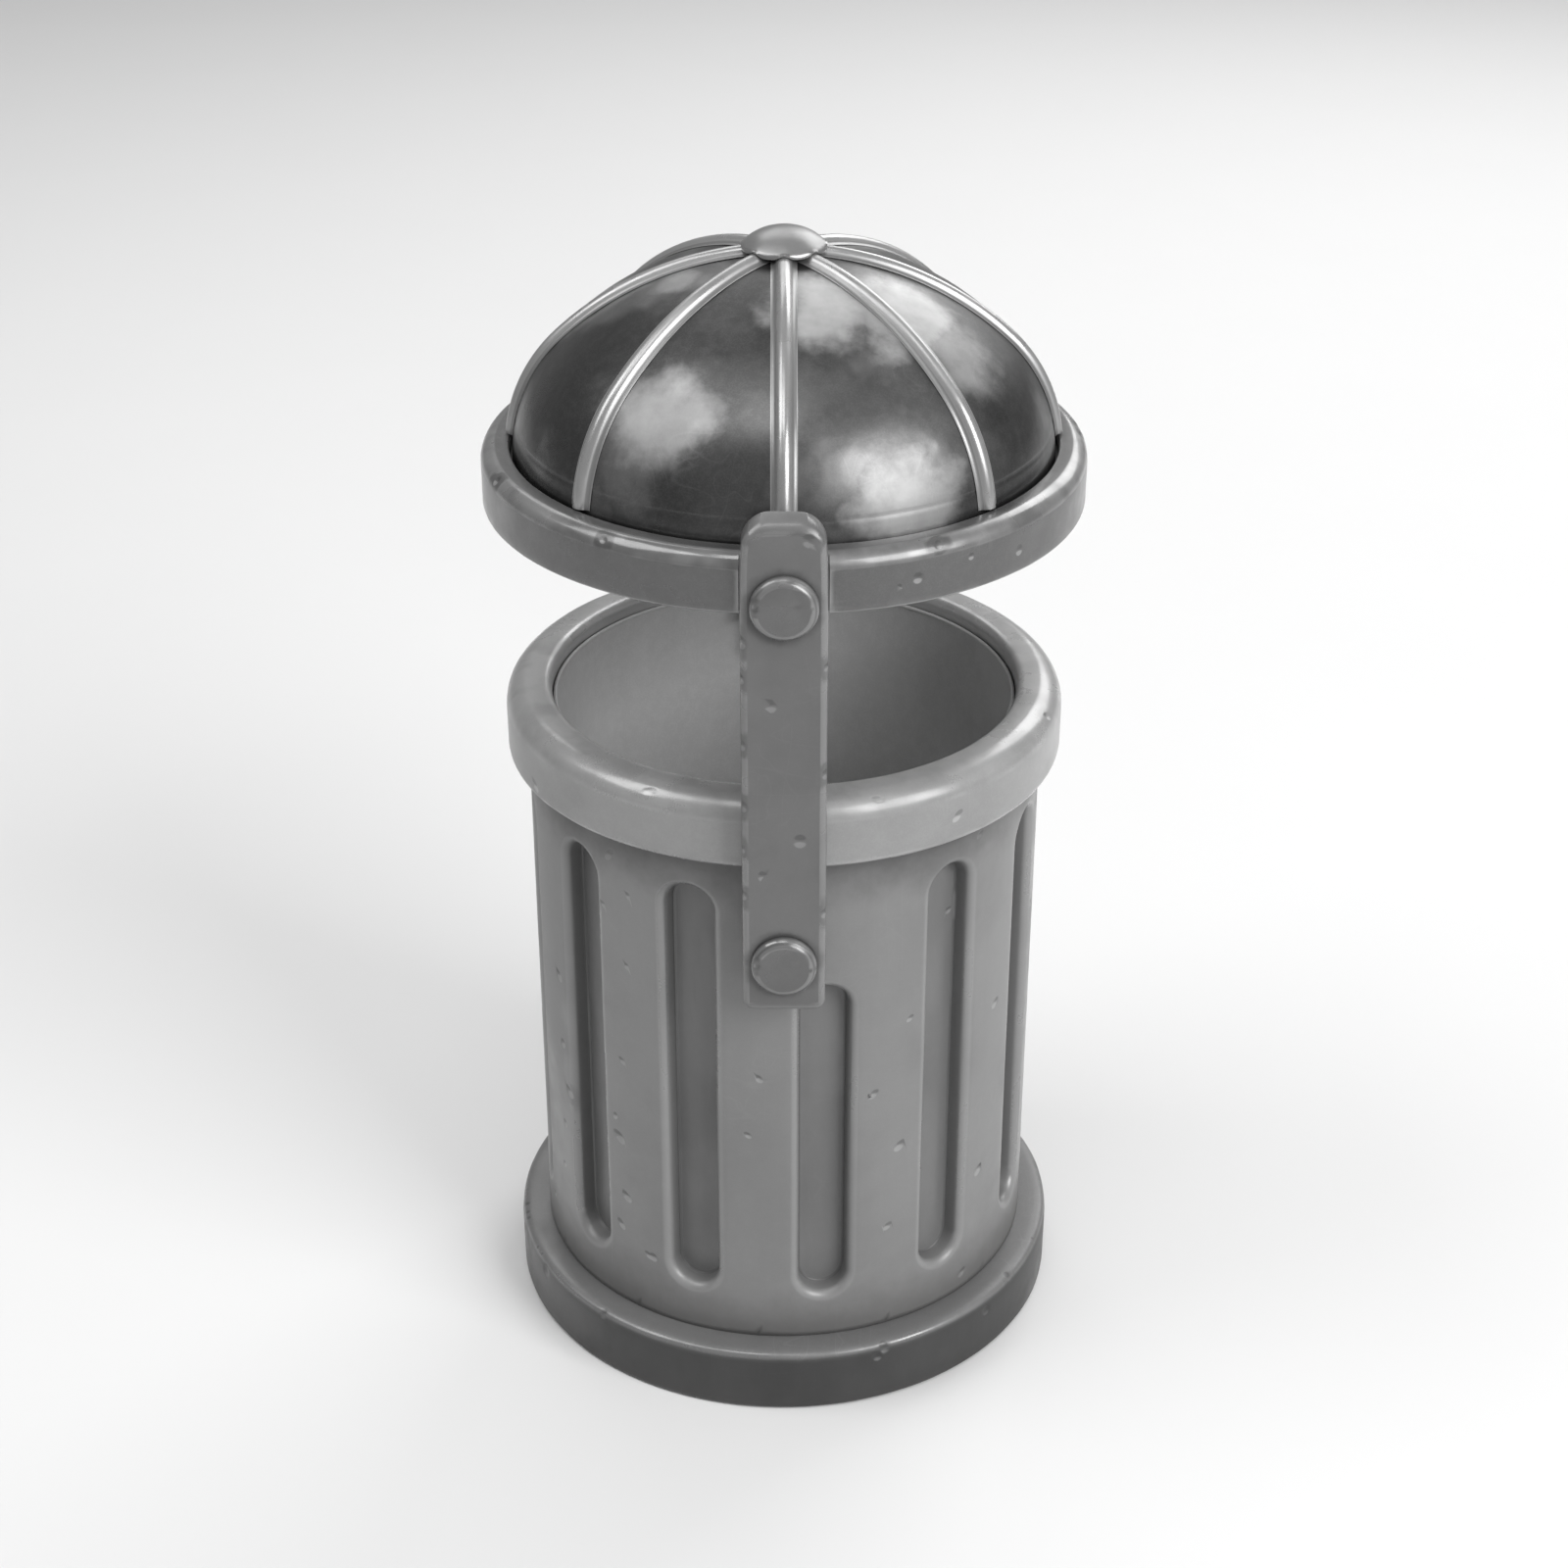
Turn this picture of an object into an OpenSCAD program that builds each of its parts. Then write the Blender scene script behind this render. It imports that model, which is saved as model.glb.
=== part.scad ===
// Round outdoor waste bin with a domed hood carried on two swing arms.
// Origin: centre of the footprint on the ground. +Z is up and the front arm faces -Y.
// Azimuths are counted from the front (-Y) towards +X. Every length is in millimetres.

/* [Shell] */
// Outer radius of the plain shell wall
shell_r = 265; // [258:1:272]
// Thickness of the pressed sheet
shell_wall = 3; // [2:0.5:4]
// Height of shell seen between the base ring and the collar
shell_h = 580; // [560:5:600]

/* [Flutes] */
// Number of pressed flutes round the shell
flute_count = 12; // [10:2:12]
// Azimuth of the first flute, the short one under the front arm
flute_phase = 9; // [8:0.5:10]
// Width of a flute, whose ends are full rounds
flute_w = 52; // [46:1:54]
// Depth of a flute below the shell wall
flute_depth = 22; // [16:1:24]
// Plain wall left between the base ring and a flute
flute_foot_gap = 53; // [45:1:60]
// Plain wall left between a flute and the collar
flute_head_gap = 37; // [30:1:45]
// Plain wall left between a short flute and the arm above it
flute_arm_gap = 1; // [1:1:4]

/* [Base ring] */
// How far the base ring stands out from the shell
base_overhang = 31; // [26:1:34]
// Height of the base ring
base_h = 73; // [68:1:80]
// Thickness of the outer wall and top of the ring casting
base_wall = 12; // [9:1:14]
// Thickness of the ring's inner wall
base_inner_wall = 6; // [5:0.5:7]
// Rounding of the ring's top edge
base_edge_r = 20; // [14:1:22]
// Rounding of the ring's foot
base_foot_r = 5; // [3:1:6]
// Thickness of the inner foot flange
foot_flange_t = 10; // [8:1:12]
// Width of the inner foot flange
foot_flange_w = 48; // [44:1:54]
// Distance from the ring's bore in to the circle of anchor holes
anchor_inset = 28; // [25:1:31]
// Radius of an anchor hole
anchor_hole_r = 7; // [5:0.5:8]
// Number of anchor holes
anchor_count = 4; // [4:1:5]

/* [Floor plate] */
// Thickness of the floor plate
floor_t = 3; // [2:0.5:5]
// Gap round the floor plate
floor_rim_gap = 2; // [1:0.5:4]
// Radius of a drain hole
drain_r = 6; // [4:0.5:8]
// Distance from the ring's bore in to the circle of drain holes
drain_inset = 138; // [128:1:148]
// Radius of a rubber rest pad
pad_r = 20; // [15:1:24]
// Height of a rubber rest pad
pad_h = 6; // [4:1:9]
// Distance from the ring's bore in to the circle of rest pads
pad_inset = 88; // [78:1:93]
// Distance from the ring's bore in to the circle of floor screws
floor_screw_inset = 14; // [12:1:17]
// Number of floor screws
floor_screw_count = 6; // [6:2:8]

/* [Collar] */
// How far the collar stands out from the shell
collar_overhang = 20; // [16:1:22]
// Height of the collar
collar_h = 72; // [66:1:80]
// Width of the collar from its outside to its bore
collar_w = 47; // [46:1:49]
// Thickness of the collar's sheet
collar_wall = 4; // [3:0.5:5]
// Rounding of the collar's outer top edge
collar_edge_r = 24; // [18:1:26]
// Rounding of the collar's mouth
collar_mouth_r = 10; // [8:1:12]
// Rounding of the collar's outer lower edge
collar_foot_r = 8; // [6:1:10]

/* [Tie rods] */
// Radius of a tie rod
rod_r = 4; // [3:0.5:4.5]
// Distance from the inside of the shell to a rod's axis
rod_inset = 7.5; // [7:0.5:8]
// Length of rod held in the collar's lug
rod_grip = 25; // [20:1:27]
// Height of the collar's lug
lug_h = 31; // [29:1:36]
// Radius of the collar's lug
lug_r = 5.3; // [5.1:0.1:5.9]

/* [Liner] */
// Gap between the liner and the collar's bore
liner_gap = 2.5; // [2:0.5:5]
// Thickness of the liner's sheet
liner_wall = 1.5; // [1:0.25:2]
// Depth of the liner's rim below the top of the collar
liner_drop = 17; // [14:1:22]
// Radius of the wired bead on the liner's rim
bead_r = 2.2; // [2:0.1:2.4]

/* [Liner handles] */
// Width over a handle's two legs
handle_w = 60; // [54:1:64]
// Radius of the handle's rod
handle_rod_r = 4; // [3:0.25:4.5]
// Drop from the handle's pivot to its grip
handle_drop = 42; // [36:1:48]
// Depth of the handle's pivot below the liner's rim
handle_depth = 18; // [17:1:22]
// Distance from the inside of the liner to the handle's pivot
handle_reach = 18.5; // [16:0.5:21]
// Thickness of an ear of the bracket
ear_t = 4; // [3:0.5:5]
// Thickness of the bracket's plate at its middle
bracket_t = 6; // [5:0.5:7]

/* [Arms] */
// Width of an arm
arm_w = 81; // [76:1:84]
// Thickness of an arm
arm_t = 23; // [20:1:25]
// Gap between an arm and the collar
arm_gap = 2; // [1.5:0.5:4]
// Bevel round an arm's face
arm_bevel = 7; // [5:1:8]
// Rounding of an arm's upper corners
arm_top_r = 26; // [22:1:30]
// Rounding of an arm's lower corners
arm_foot_r = 12; // [9:1:15]
// Length of arm below its pivot
arm_foot = 54; // [50:1:60]
// Length of arm above the top of the band
arm_rise = 41; // [36:1:46]

/* [Pivots] */
// Depth of the pivot below the collar
pivot_depth = 89; // [80:1:95]
// Radius of the pivot bolt
pivot_bolt_r = 10; // [8:0.5:10.5]
// Wall of the pivot bush
bush_wall = 4; // [3:0.5:5]
// Radius of the pivot boss on the shell
boss_r = 28; // [24:1:30]
// Thickness of the friction washer
friction_washer_t = 2; // [1.5:0.5:3]
// Radius of the friction washer
friction_washer_r = 25; // [21:1:27]
// Thickness of the backing pad inside the shell
pivot_pad_t = 8; // [7:0.5:8.5]
// Width and height of the backing pad
pivot_pad_w = 64; // [56:1:70]
// Thickness of the pivot nut
pivot_nut_t = 12; // [10:0.5:12.5]

/* [Bolt heads] */
// Radius of the four large round bolt heads
head_r = 32; // [28:1:34]
// Thickness of the heads
head_t = 12; // [10:1:14]
// Rounding of the heads' edge
head_edge_r = 7; // [5:1:8]

/* [Hood band] */
// Height of the feed gap between the collar and the band
feed_gap = 202; // [192:1:215]
// Height of the band
band_h = 58; // [56:1:62]
// Depth to which an arm is let into the band
band_overlap = 11; // [10:0.5:12]
// Thickness of the band's wall
band_wall = 8; // [6:1:9]
// Rounding of the band's top edge
band_edge_r = 16; // [13:1:18]
// Width of the band's top lip
lip_w = 26; // [24:1:27]
// Thickness of the band's top lip
lip_t = 10; // [8:1:11]
// Height of the dome's seat above the band's lower edge
ledge_rise = 31; // [31:0.5:33]
// Thickness of the dome's seat
ledge_t = 8; // [6:1:8.5]
// Width of the dome's seat
ledge_w = 43; // [41:1:46]
// Thickness of the flat block behind an arm
seat_t = 12; // [10:1:13]
// Half the width of the flat block behind an arm
seat_half_w = 52; // [50:1:58]
// Height of the upper bolt above the band's lower edge
upper_bolt_rise = 14.2; // [14:0.1:14.8]
// Radius of the upper bolt
upper_bolt_r = 8; // [6:0.5:8.5]
// Thickness of the upper bolt's nut
upper_nut_t = 13; // [10:1:14]

/* [Dome] */
// Gap between the dome and the band's lip
dome_gap = 5; // [3:0.5:7]
// Thickness of the dome's sheet
dome_wall = 2.5; // [2:0.25:3]
// Straight skirt of the dome above its seat
dome_skirt = 2; // [1:0.5:6]
// Radius of the dome's shoulder
knuckle_r = 161; // [150:1:170]
// Radius of the dome's crown
crown_r = 316; // [305:1:330]
// Width of the dome's inner flange
flange_w = 22; // [20:1:23]
// Radius of the circle of flange screws, counted in from the dome's outside
flange_screw_inset = 11; // [10:0.5:12]

/* [Ribs] */
// Number of ribs on the dome
rib_count = 8; // [6:2:8]
// Width of a rib
rib_w = 24; // [20:1:28]
// Height of a rib above the dome
rib_proud = 8; // [6:0.5:9]
// Gap between a rib's foot and the top of the band
rib_foot_gap = 3; // [2:0.5:8]
// Distance from the bin's axis to a rib's upper end
rib_end_r = 30; // [27:1:33]

/* [Cap] */
// Radius of the cap
cap_r = 41.5; // [39:0.5:44]
// Height of the cap's upright rim
cap_rim_h = 7.5; // [6:0.5:9]
// Rise of the cap's crown above its rim
cap_crown_h = 16; // [12:1:18]
// Thickness of the cap's rim
cap_rim_w = 4; // [3:0.5:5]
// Radius of the cap's stud
cap_stud_r = 6; // [5:0.5:7]
// Radius of the plate that spreads the stud's pull
hub_plate_r = 30; // [26:1:34]
// Thickness of the plate that spreads the stud's pull
hub_plate_t = 4; // [3:0.5:5]

/* [Small fasteners] */
// Radius of the floor and flange screws and of the rib studs
screw_r = 3; // [2.5:0.25:3.25]
// Thickness of the screw heads
screw_head_t = 4; // [3:0.5:5]
// Radius of the bracket rivets
rivet_r = 2.4; // [2:0.2:2.8]

/* [Hidden] */
$fn = 96;

// Fineness of the large cylinders that small pieces are fitted to
large_fn = 480;

// Clearances
seat_gap = 0.1;
run_gap = 0.05;
body_gap = 0.3;
hole_gap = 0.2;
cut = 1;

// Radii worked out from the shell
shell_in_r = shell_r - shell_wall;
base_r = shell_r + base_overhang;
collar_r = shell_r + collar_overhang;
bore_r = collar_r - collar_w;
liner_r = bore_r - liner_gap;
liner_in_r = liner_r - liner_wall;
base_bore_r = bore_r;
groove_in_r = base_bore_r + base_inner_wall;
groove_out_r = base_r - base_wall;
foot_flange_r = base_bore_r - foot_flange_w;
anchor_circle_r = base_bore_r - anchor_inset;
floor_screw_circle_r = base_bore_r - floor_screw_inset;
pad_circle_r = base_bore_r - pad_inset;
drain_circle_r = base_bore_r - drain_inset;
flute_floor_r = shell_r - flute_depth;
rod_circle_r = shell_in_r - rod_inset;

// Heights worked out from the ground up
base_top = base_h;
floor_top = foot_flange_t + floor_t;
liner_z = floor_top + pad_h + body_gap;
collar_z = base_top + shell_h;
collar_top = collar_z + collar_h;
// The shell's upper edge meets the rounded corner inside the collar
cavity_edge_r = collar_edge_r - collar_wall;
cavity_edge_x = max(0, shell_r - (collar_r - collar_wall - cavity_edge_r));
shell_top = collar_top - collar_wall - cavity_edge_r + sqrt(pow(cavity_edge_r, 2) - pow(cavity_edge_x, 2)) - seat_gap;
liner_top = collar_top - liner_drop;
pivot_z = collar_z - pivot_depth;
band_z = collar_top + feed_gap;
band_top = band_z + band_h;
ledge_z = band_z + ledge_rise;
ledge_top = ledge_z + ledge_t;
upper_bolt_z = band_z + upper_bolt_rise;
arm_z = pivot_z - arm_foot;
arm_top = band_top + arm_rise;

// Distances of the arms, heads and seats from the bin's axis
arm_back = collar_r + arm_gap;
arm_face = arm_back + arm_t;
band_r = arm_back + band_overlap;
band_in_r = band_r - band_wall;
lip_r = band_r - lip_w;
ledge_r = band_in_r - ledge_w;
seat_back = arm_back - seat_t;
pad_face = shell_in_r - pivot_pad_t;
boss_face = arm_back - body_gap - friction_washer_t;

// Flutes and tie rods
flute_pitch = 360 / flute_count;
flute_z = base_top + flute_foot_gap;
flute_top = collar_z - flute_head_gap;
short_flute_top = arm_z - flute_arm_gap;
rod_count = flute_count / 2;
rod_top = collar_top - collar_wall - lug_h + rod_grip;
rod_nut_af = 3.25 * rod_r;
rod_nut_t = 1.7 * rod_r;
rod_washer_t = 1.6;
rod_end = 3;

// Dome arcs: the shoulder starts upright at the dome's foot and meets the crown without a kink
dome_r = lip_r - dome_gap;
shoulder_z = ledge_top + dome_skirt;
shoulder_x = dome_r - knuckle_r;
crown_z = shoulder_z - sqrt(pow(crown_r - knuckle_r, 2) - pow(shoulder_x, 2));
meet_angle = atan2(shoulder_z - crown_z, shoulder_x);
apex_z = crown_z + crown_r;
flange_screw_circle_r = dome_r - flange_screw_inset;

// Ribs
rib_pitch = 360 / rib_count;
rib_round_r = (pow(rib_w / 2, 2) + pow(rib_proud, 2)) / (2 * rib_proud);
rib_foot_angle = asin((band_top + rib_foot_gap - shoulder_z) / knuckle_r);
rib_end_angle = acos(rib_end_r / crown_r);
rib_lap_angle = 0.3;
rib_lap_step = 0.05;
low_stud_angle = 25;
high_stud_angle = 72;
stud_reach = 10;

// Cap
cap_z = crown_z + sqrt(pow(crown_r, 2) - pow(cap_r, 2)) + 2.4;
cap_rim_top = cap_z + cap_rim_h;
cap_top = cap_rim_top + cap_crown_h;
cap_round_r = (pow(cap_r, 2) + pow(cap_crown_h, 2)) / (2 * cap_crown_h);
cap_hollow_top = apex_z + rib_proud + 1.2;
cap_boss_r = cap_stud_r + 8;
hub_top = crown_z + sqrt(pow(crown_r - dome_wall, 2) - pow(hub_plate_r, 2)) - seat_gap;
hub_nut_t = 10;
cap_stud_end = hub_top - hub_plate_t - hub_nut_t - 4;

// Handles of the liner
handle_z = liner_top - handle_depth;
handle_y = liner_in_r - handle_reach;
ear_in = handle_w / 2 + handle_rod_r + body_gap;
ear_h = 10;
bracket_half_w = ear_in + ear_t + 2;
bracket_half_h = 14;
rivet_x = 18;

// Colours
iron_grey = [0.36, 0.37, 0.38];
steel_grey = [0.56, 0.57, 0.58];
pale_grey = [0.64, 0.65, 0.66];
satin_grey = [0.42, 0.43, 0.44];
dark_steel = [0.30, 0.31, 0.32];
bright_steel = [0.70, 0.71, 0.72];
zinc_grey = [0.60, 0.62, 0.63];
rubber_black = [0.10, 0.10, 0.10];
bronze = [0.60, 0.45, 0.25];

// Placing helpers
module at_azimuth(a) rotate([0, 0, a]) children();
module at_rear() at_azimuth(180) children();
module around(count, radius, phase = 0)
    for (k = [0 : count - 1])
        at_azimuth(phase + k * 360 / count)
            translate([0, -radius, 0]) children();
// Lays a shape that stands on Z along -Y, with its foot at distance d from the axis and height z
module facing_front(d, z) translate([0, -d, z]) rotate([90, 0, 0]) children();

// Basic shapes
module tube(r_out, r_in, h)
    difference() {
        cylinder(r = r_out, h = h);
        translate([0, 0, -cut]) cylinder(r = r_in, h = h + 2 * cut);
    }
module hex_nut(flats, t, hole_r)
    difference() {
        cylinder(d = flats / cos(30), h = t, $fn = 6);
        translate([0, 0, -cut]) cylinder(r = hole_r, h = t + 2 * cut);
    }
// Section from (x0, y0) to (x1, y1) with its outer corners rounded, above by r_up and below by r_low
module edge_rounded(x0, y0, x1, y1, r_up, r_low)
    intersection() {
        union() {
            translate([x0, y0 + r_low]) square([x1 - x0, y1 - y0 - r_up - r_low]);
            translate([x0, y1 - r_up - cut]) square([x1 - x0 - r_up, r_up + cut]);
            translate([x0, y0]) square([x1 - x0 - r_low, r_low + cut]);
            translate([x1 - r_up, y1 - r_up]) circle(r = r_up);
            translate([x1 - r_low, y0 + r_low]) circle(r = r_low);
        }
        translate([x0, y0]) square([x1 - x0, y1 - y0]);
    }
// Takes the corner at (x, y) off a section and leaves it round; the metal lies towards +x and below y
module round_inner_corner(x, y, r)
    difference() {
        translate([x - cut, y - r]) square([r + cut, r + cut]);
        translate([x + r, y - r]) circle(r = r);
    }
// Large round head on a plain shank, standing on Z with the seat of the head at z = 0
module headed_bolt(shank_r, shank_l) {
    translate([0, 0, -shank_l]) cylinder(r = shank_r, h = shank_l + cut);
    rotate_extrude() intersection() {
        edge_rounded(-head_r, 0, head_r, head_t, head_edge_r, 0.5);
        square([head_r + cut, head_t]);
    }
}
module small_screw(head_width_r, length) {
    cylinder(r = head_width_r, h = screw_head_t);
    translate([0, 0, -length]) cylinder(r = screw_r, h = length + cut);
}

// Base ring and floor
module base_section()
    difference() {
        union() {
            edge_rounded(base_bore_r, 0, base_r, base_top, base_edge_r, base_foot_r);
            translate([foot_flange_r, 0]) square([foot_flange_w + cut, foot_flange_t]);
        }
        translate([groove_in_r, -cut])
            edge_rounded(0, 0, groove_out_r - groove_in_r, base_top - base_wall + cut, base_edge_r - 8, 0.5);
    }
module base_ring()
    color(iron_grey) difference() {
        rotate_extrude() base_section();
        around(rod_count, rod_circle_r, flute_phase + flute_pitch / 2)
            translate([0, 0, base_top - base_wall - cut]) cylinder(r = rod_r + hole_gap, h = base_wall + 2 * cut);
        around(anchor_count, anchor_circle_r, 45)
            translate([0, 0, -cut]) cylinder(r = anchor_hole_r, h = foot_flange_t + 2 * cut);
        around(floor_screw_count, floor_screw_circle_r)
            translate([0, 0, -cut]) cylinder(r = screw_r + run_gap, h = foot_flange_t + 2 * cut);
    }
module floor_plate()
    color(zinc_grey) translate([0, 0, foot_flange_t]) difference() {
        cylinder(r = base_bore_r - floor_rim_gap, h = floor_t);
        around(anchor_count, anchor_circle_r, 45)
            translate([0, 0, -cut]) cylinder(r = anchor_hole_r, h = floor_t + 2 * cut);
        around(floor_screw_count, floor_screw_circle_r)
            translate([0, 0, -cut]) cylinder(r = screw_r + hole_gap, h = floor_t + 2 * cut);
        around(floor_screw_count, drain_circle_r, 30)
            translate([0, 0, -cut]) cylinder(r = drain_r, h = floor_t + 2 * cut);
    }
module floor_screws()
    color(zinc_grey) around(floor_screw_count, floor_screw_circle_r)
        translate([0, 0, floor_top]) small_screw(1.8 * screw_r, foot_flange_t + floor_t - 2);
module rest_pads()
    color(rubber_black) around(4, pad_circle_r) translate([0, 0, floor_top]) cylinder(r = pad_r, h = pad_h);

// Shell with its pressed flutes
function flute_azimuth(k) = flute_phase + k * flute_pitch;
function flute_under_arm(k) = abs(shell_r * sin(flute_azimuth(k))) < (arm_w + flute_w) / 2;
function flute_end(k) = flute_under_arm(k) ? short_flute_top : flute_top;
module flute_outline(length, grow)
    translate([0, flute_w / 2]) {
        circle(r = flute_w / 2 + grow);
        translate([-flute_w / 2 - grow, 0]) square([flute_w + 2 * grow, length - flute_w]);
        translate([0, length - flute_w]) circle(r = flute_w / 2 + grow);
    }
module flute_blocks(grow)
    for (k = [0 : flute_count - 1])
        at_azimuth(flute_azimuth(k)) facing_front(flute_floor_r - 30, flute_z)
            linear_extrude(height = flute_depth + 30 + 12) flute_outline(flute_end(k) - flute_z, grow);
module shell()
    color(steel_grey) difference() {
        union() {
            translate([0, 0, base_top]) tube(shell_r, shell_in_r, shell_top - base_top);
            intersection() {
                translate([0, 0, base_top]) tube(shell_r - shell_wall / 2, flute_floor_r - shell_wall, shell_h);
                flute_blocks(shell_wall);
            }
        }
        difference() {
            flute_blocks(0);
            cylinder(r = flute_floor_r, h = collar_z);
        }
        translate([0, shell_r + cut, pivot_z]) rotate([90, 0, 0])
            cylinder(r = pivot_bolt_r + run_gap, h = 2 * (shell_r + cut));
    }

// Collar and tie rods
module collar_section()
    difference() {
        edge_rounded(bore_r, collar_z, collar_r, collar_top, collar_edge_r, collar_foot_r);
        round_inner_corner(bore_r, collar_top, collar_mouth_r);
        difference() {
            edge_rounded(bore_r + collar_wall, collar_z + collar_wall, collar_r - collar_wall,
                collar_top - collar_wall, collar_edge_r - collar_wall, collar_foot_r - collar_wall);
            round_inner_corner(bore_r + collar_wall, collar_top - collar_wall, collar_mouth_r - collar_wall);
        }
        translate([bore_r + collar_wall, collar_z - cut])
            square([shell_r + seat_gap - bore_r - collar_wall, 2 * collar_wall]);
    }
module collar()
    color(pale_grey) difference() {
        union() {
            rotate_extrude() collar_section();
            around(rod_count, rod_circle_r, flute_phase + flute_pitch / 2)
                translate([0, 0, collar_top - collar_wall - lug_h]) cylinder(r = lug_r, h = lug_h + cut);
        }
        around(rod_count, rod_circle_r, flute_phase + flute_pitch / 2)
            translate([0, 0, collar_top - collar_wall - lug_h - cut])
                cylinder(r = rod_r + run_gap, h = rod_grip + 2 * cut);
    }
module tie_rods()
    color(zinc_grey) around(rod_count, rod_circle_r, flute_phase + flute_pitch / 2)
        translate([0, 0, base_top - base_wall - rod_washer_t - rod_nut_t - rod_end])
            cylinder(r = rod_r, h = rod_top - base_top + base_wall + rod_washer_t + rod_nut_t + rod_end);
module tie_rod_washers()
    color(zinc_grey) around(rod_count, rod_circle_r, flute_phase + flute_pitch / 2)
        translate([0, 0, base_top - base_wall - rod_washer_t]) tube(2 * rod_r, rod_r + run_gap, rod_washer_t);
module tie_rod_nuts()
    color(zinc_grey) around(rod_count, rod_circle_r, flute_phase + flute_pitch / 2)
        translate([0, 0, base_top - base_wall - rod_washer_t - rod_nut_t])
            hex_nut(rod_nut_af, rod_nut_t, rod_r + run_gap);

// Pivots on the shell
module pivot_boss()
    color(steel_grey) difference() {
        facing_front(shell_r - 10, pivot_z) tube(boss_r, pivot_bolt_r + run_gap, boss_face - shell_r + 10);
        cylinder(r = shell_r + seat_gap, h = collar_z, $fn = large_fn);
    }
module friction_washer()
    color(rubber_black) facing_front(boss_face, pivot_z)
        tube(friction_washer_r, pivot_bolt_r + run_gap, friction_washer_t);
module pivot_pad()
    color(zinc_grey) difference() {
        intersection() {
            cylinder(r = shell_in_r - seat_gap, h = collar_z, $fn = large_fn);
            translate([-pivot_pad_w / 2, -shell_r, pivot_z - pivot_pad_w / 2])
                cube([pivot_pad_w, shell_r - pad_face, pivot_pad_w]);
        }
        facing_front(pad_face - cut, pivot_z) cylinder(r = pivot_bolt_r + run_gap, h = shell_r);
    }
module pivot_bolt()
    color(satin_grey) facing_front(arm_face + body_gap, pivot_z)
        headed_bolt(pivot_bolt_r, arm_face + body_gap - pad_face + pivot_nut_t + 1.5);
module pivot_nut()
    color(zinc_grey) facing_front(pad_face - pivot_nut_t, pivot_z)
        hex_nut(3 * pivot_bolt_r, pivot_nut_t, pivot_bolt_r + run_gap);

// Liner with its drop handles
module liner()
    color(zinc_grey) difference() {
        union() {
            translate([0, 0, liner_z]) cylinder(r = liner_r, h = liner_top - bead_r - liner_z);
            rotate_extrude() translate([liner_r - liner_wall / 2, liner_top - bead_r]) circle(r = bead_r);
        }
        translate([0, 0, liner_z + liner_wall]) cylinder(r = liner_in_r, h = liner_top - liner_z - bead_r);
        rivet_holes();
        at_rear() rivet_holes();
    }
module rivet_holes()
    for (side = [-1, 1])
        translate([side * rivet_x, 0, 0]) facing_front(handle_y, handle_z)
            cylinder(r = rivet_r + run_gap, h = handle_reach + 10);
module handle_bracket()
    color(zinc_grey) difference() {
        union() {
            intersection() {
                cylinder(r = liner_in_r - seat_gap, h = liner_top, $fn = large_fn);
                translate([-bracket_half_w, -liner_r, handle_z - bracket_half_h])
                    cube([2 * bracket_half_w, liner_r - liner_in_r + bracket_t, 2 * bracket_half_h]);
            }
            for (side = [0, 1]) mirror([side, 0, 0]) translate([ear_in, -handle_y, handle_z])
                rotate([0, 90, 0]) {
                    cylinder(r = ear_h, h = ear_t);
                    translate([-ear_h, -handle_reach + bracket_t - cut, 0])
                        cube([2 * ear_h, handle_reach - bracket_t + cut, ear_t]);
                }
        }
        translate([-handle_w, -handle_y, handle_z]) rotate([0, 90, 0])
            cylinder(r = handle_rod_r + run_gap, h = 2 * handle_w);
        rivet_holes();
    }
module rivet_pair()
    for (side = [-1, 1])
        translate([side * rivet_x, 0, 0]) facing_front(liner_in_r - bracket_t, handle_z) {
            translate([0, 0, -1.6]) cylinder(r = 2 * rivet_r, h = 1.6);
            cylinder(r = rivet_r, h = bracket_t + liner_wall);
            translate([0, 0, bracket_t + liner_wall - seat_gap]) cylinder(r = 1.6 * rivet_r, h = 1.2);
        }
module bracket_rivets()
    color(zinc_grey) {
        rivet_pair();
        at_rear() rivet_pair();
    }
// Bail of round rod: two stubs in the ears, two legs and a grip, with round elbows
module drop_handle()
    color(bright_steel) translate([0, -handle_y, handle_z]) {
        for (side = [-1, 1]) {
            translate([side * handle_w / 2, 0, 0]) sphere(r = handle_rod_r);
            translate([side * handle_w / 2, 0, -handle_drop]) cylinder(r = handle_rod_r, h = handle_drop);
            translate([side * handle_w / 2, 0, -handle_drop]) sphere(r = handle_rod_r);
            translate([side * handle_w / 2, 0, 0]) rotate([0, side * 90, 0])
                cylinder(r = handle_rod_r, h = ear_in + ear_t + 1 - handle_w / 2);
        }
        translate([-handle_w / 2, 0, -handle_drop]) rotate([0, 90, 0]) cylinder(r = handle_rod_r, h = handle_w);
    }

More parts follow.
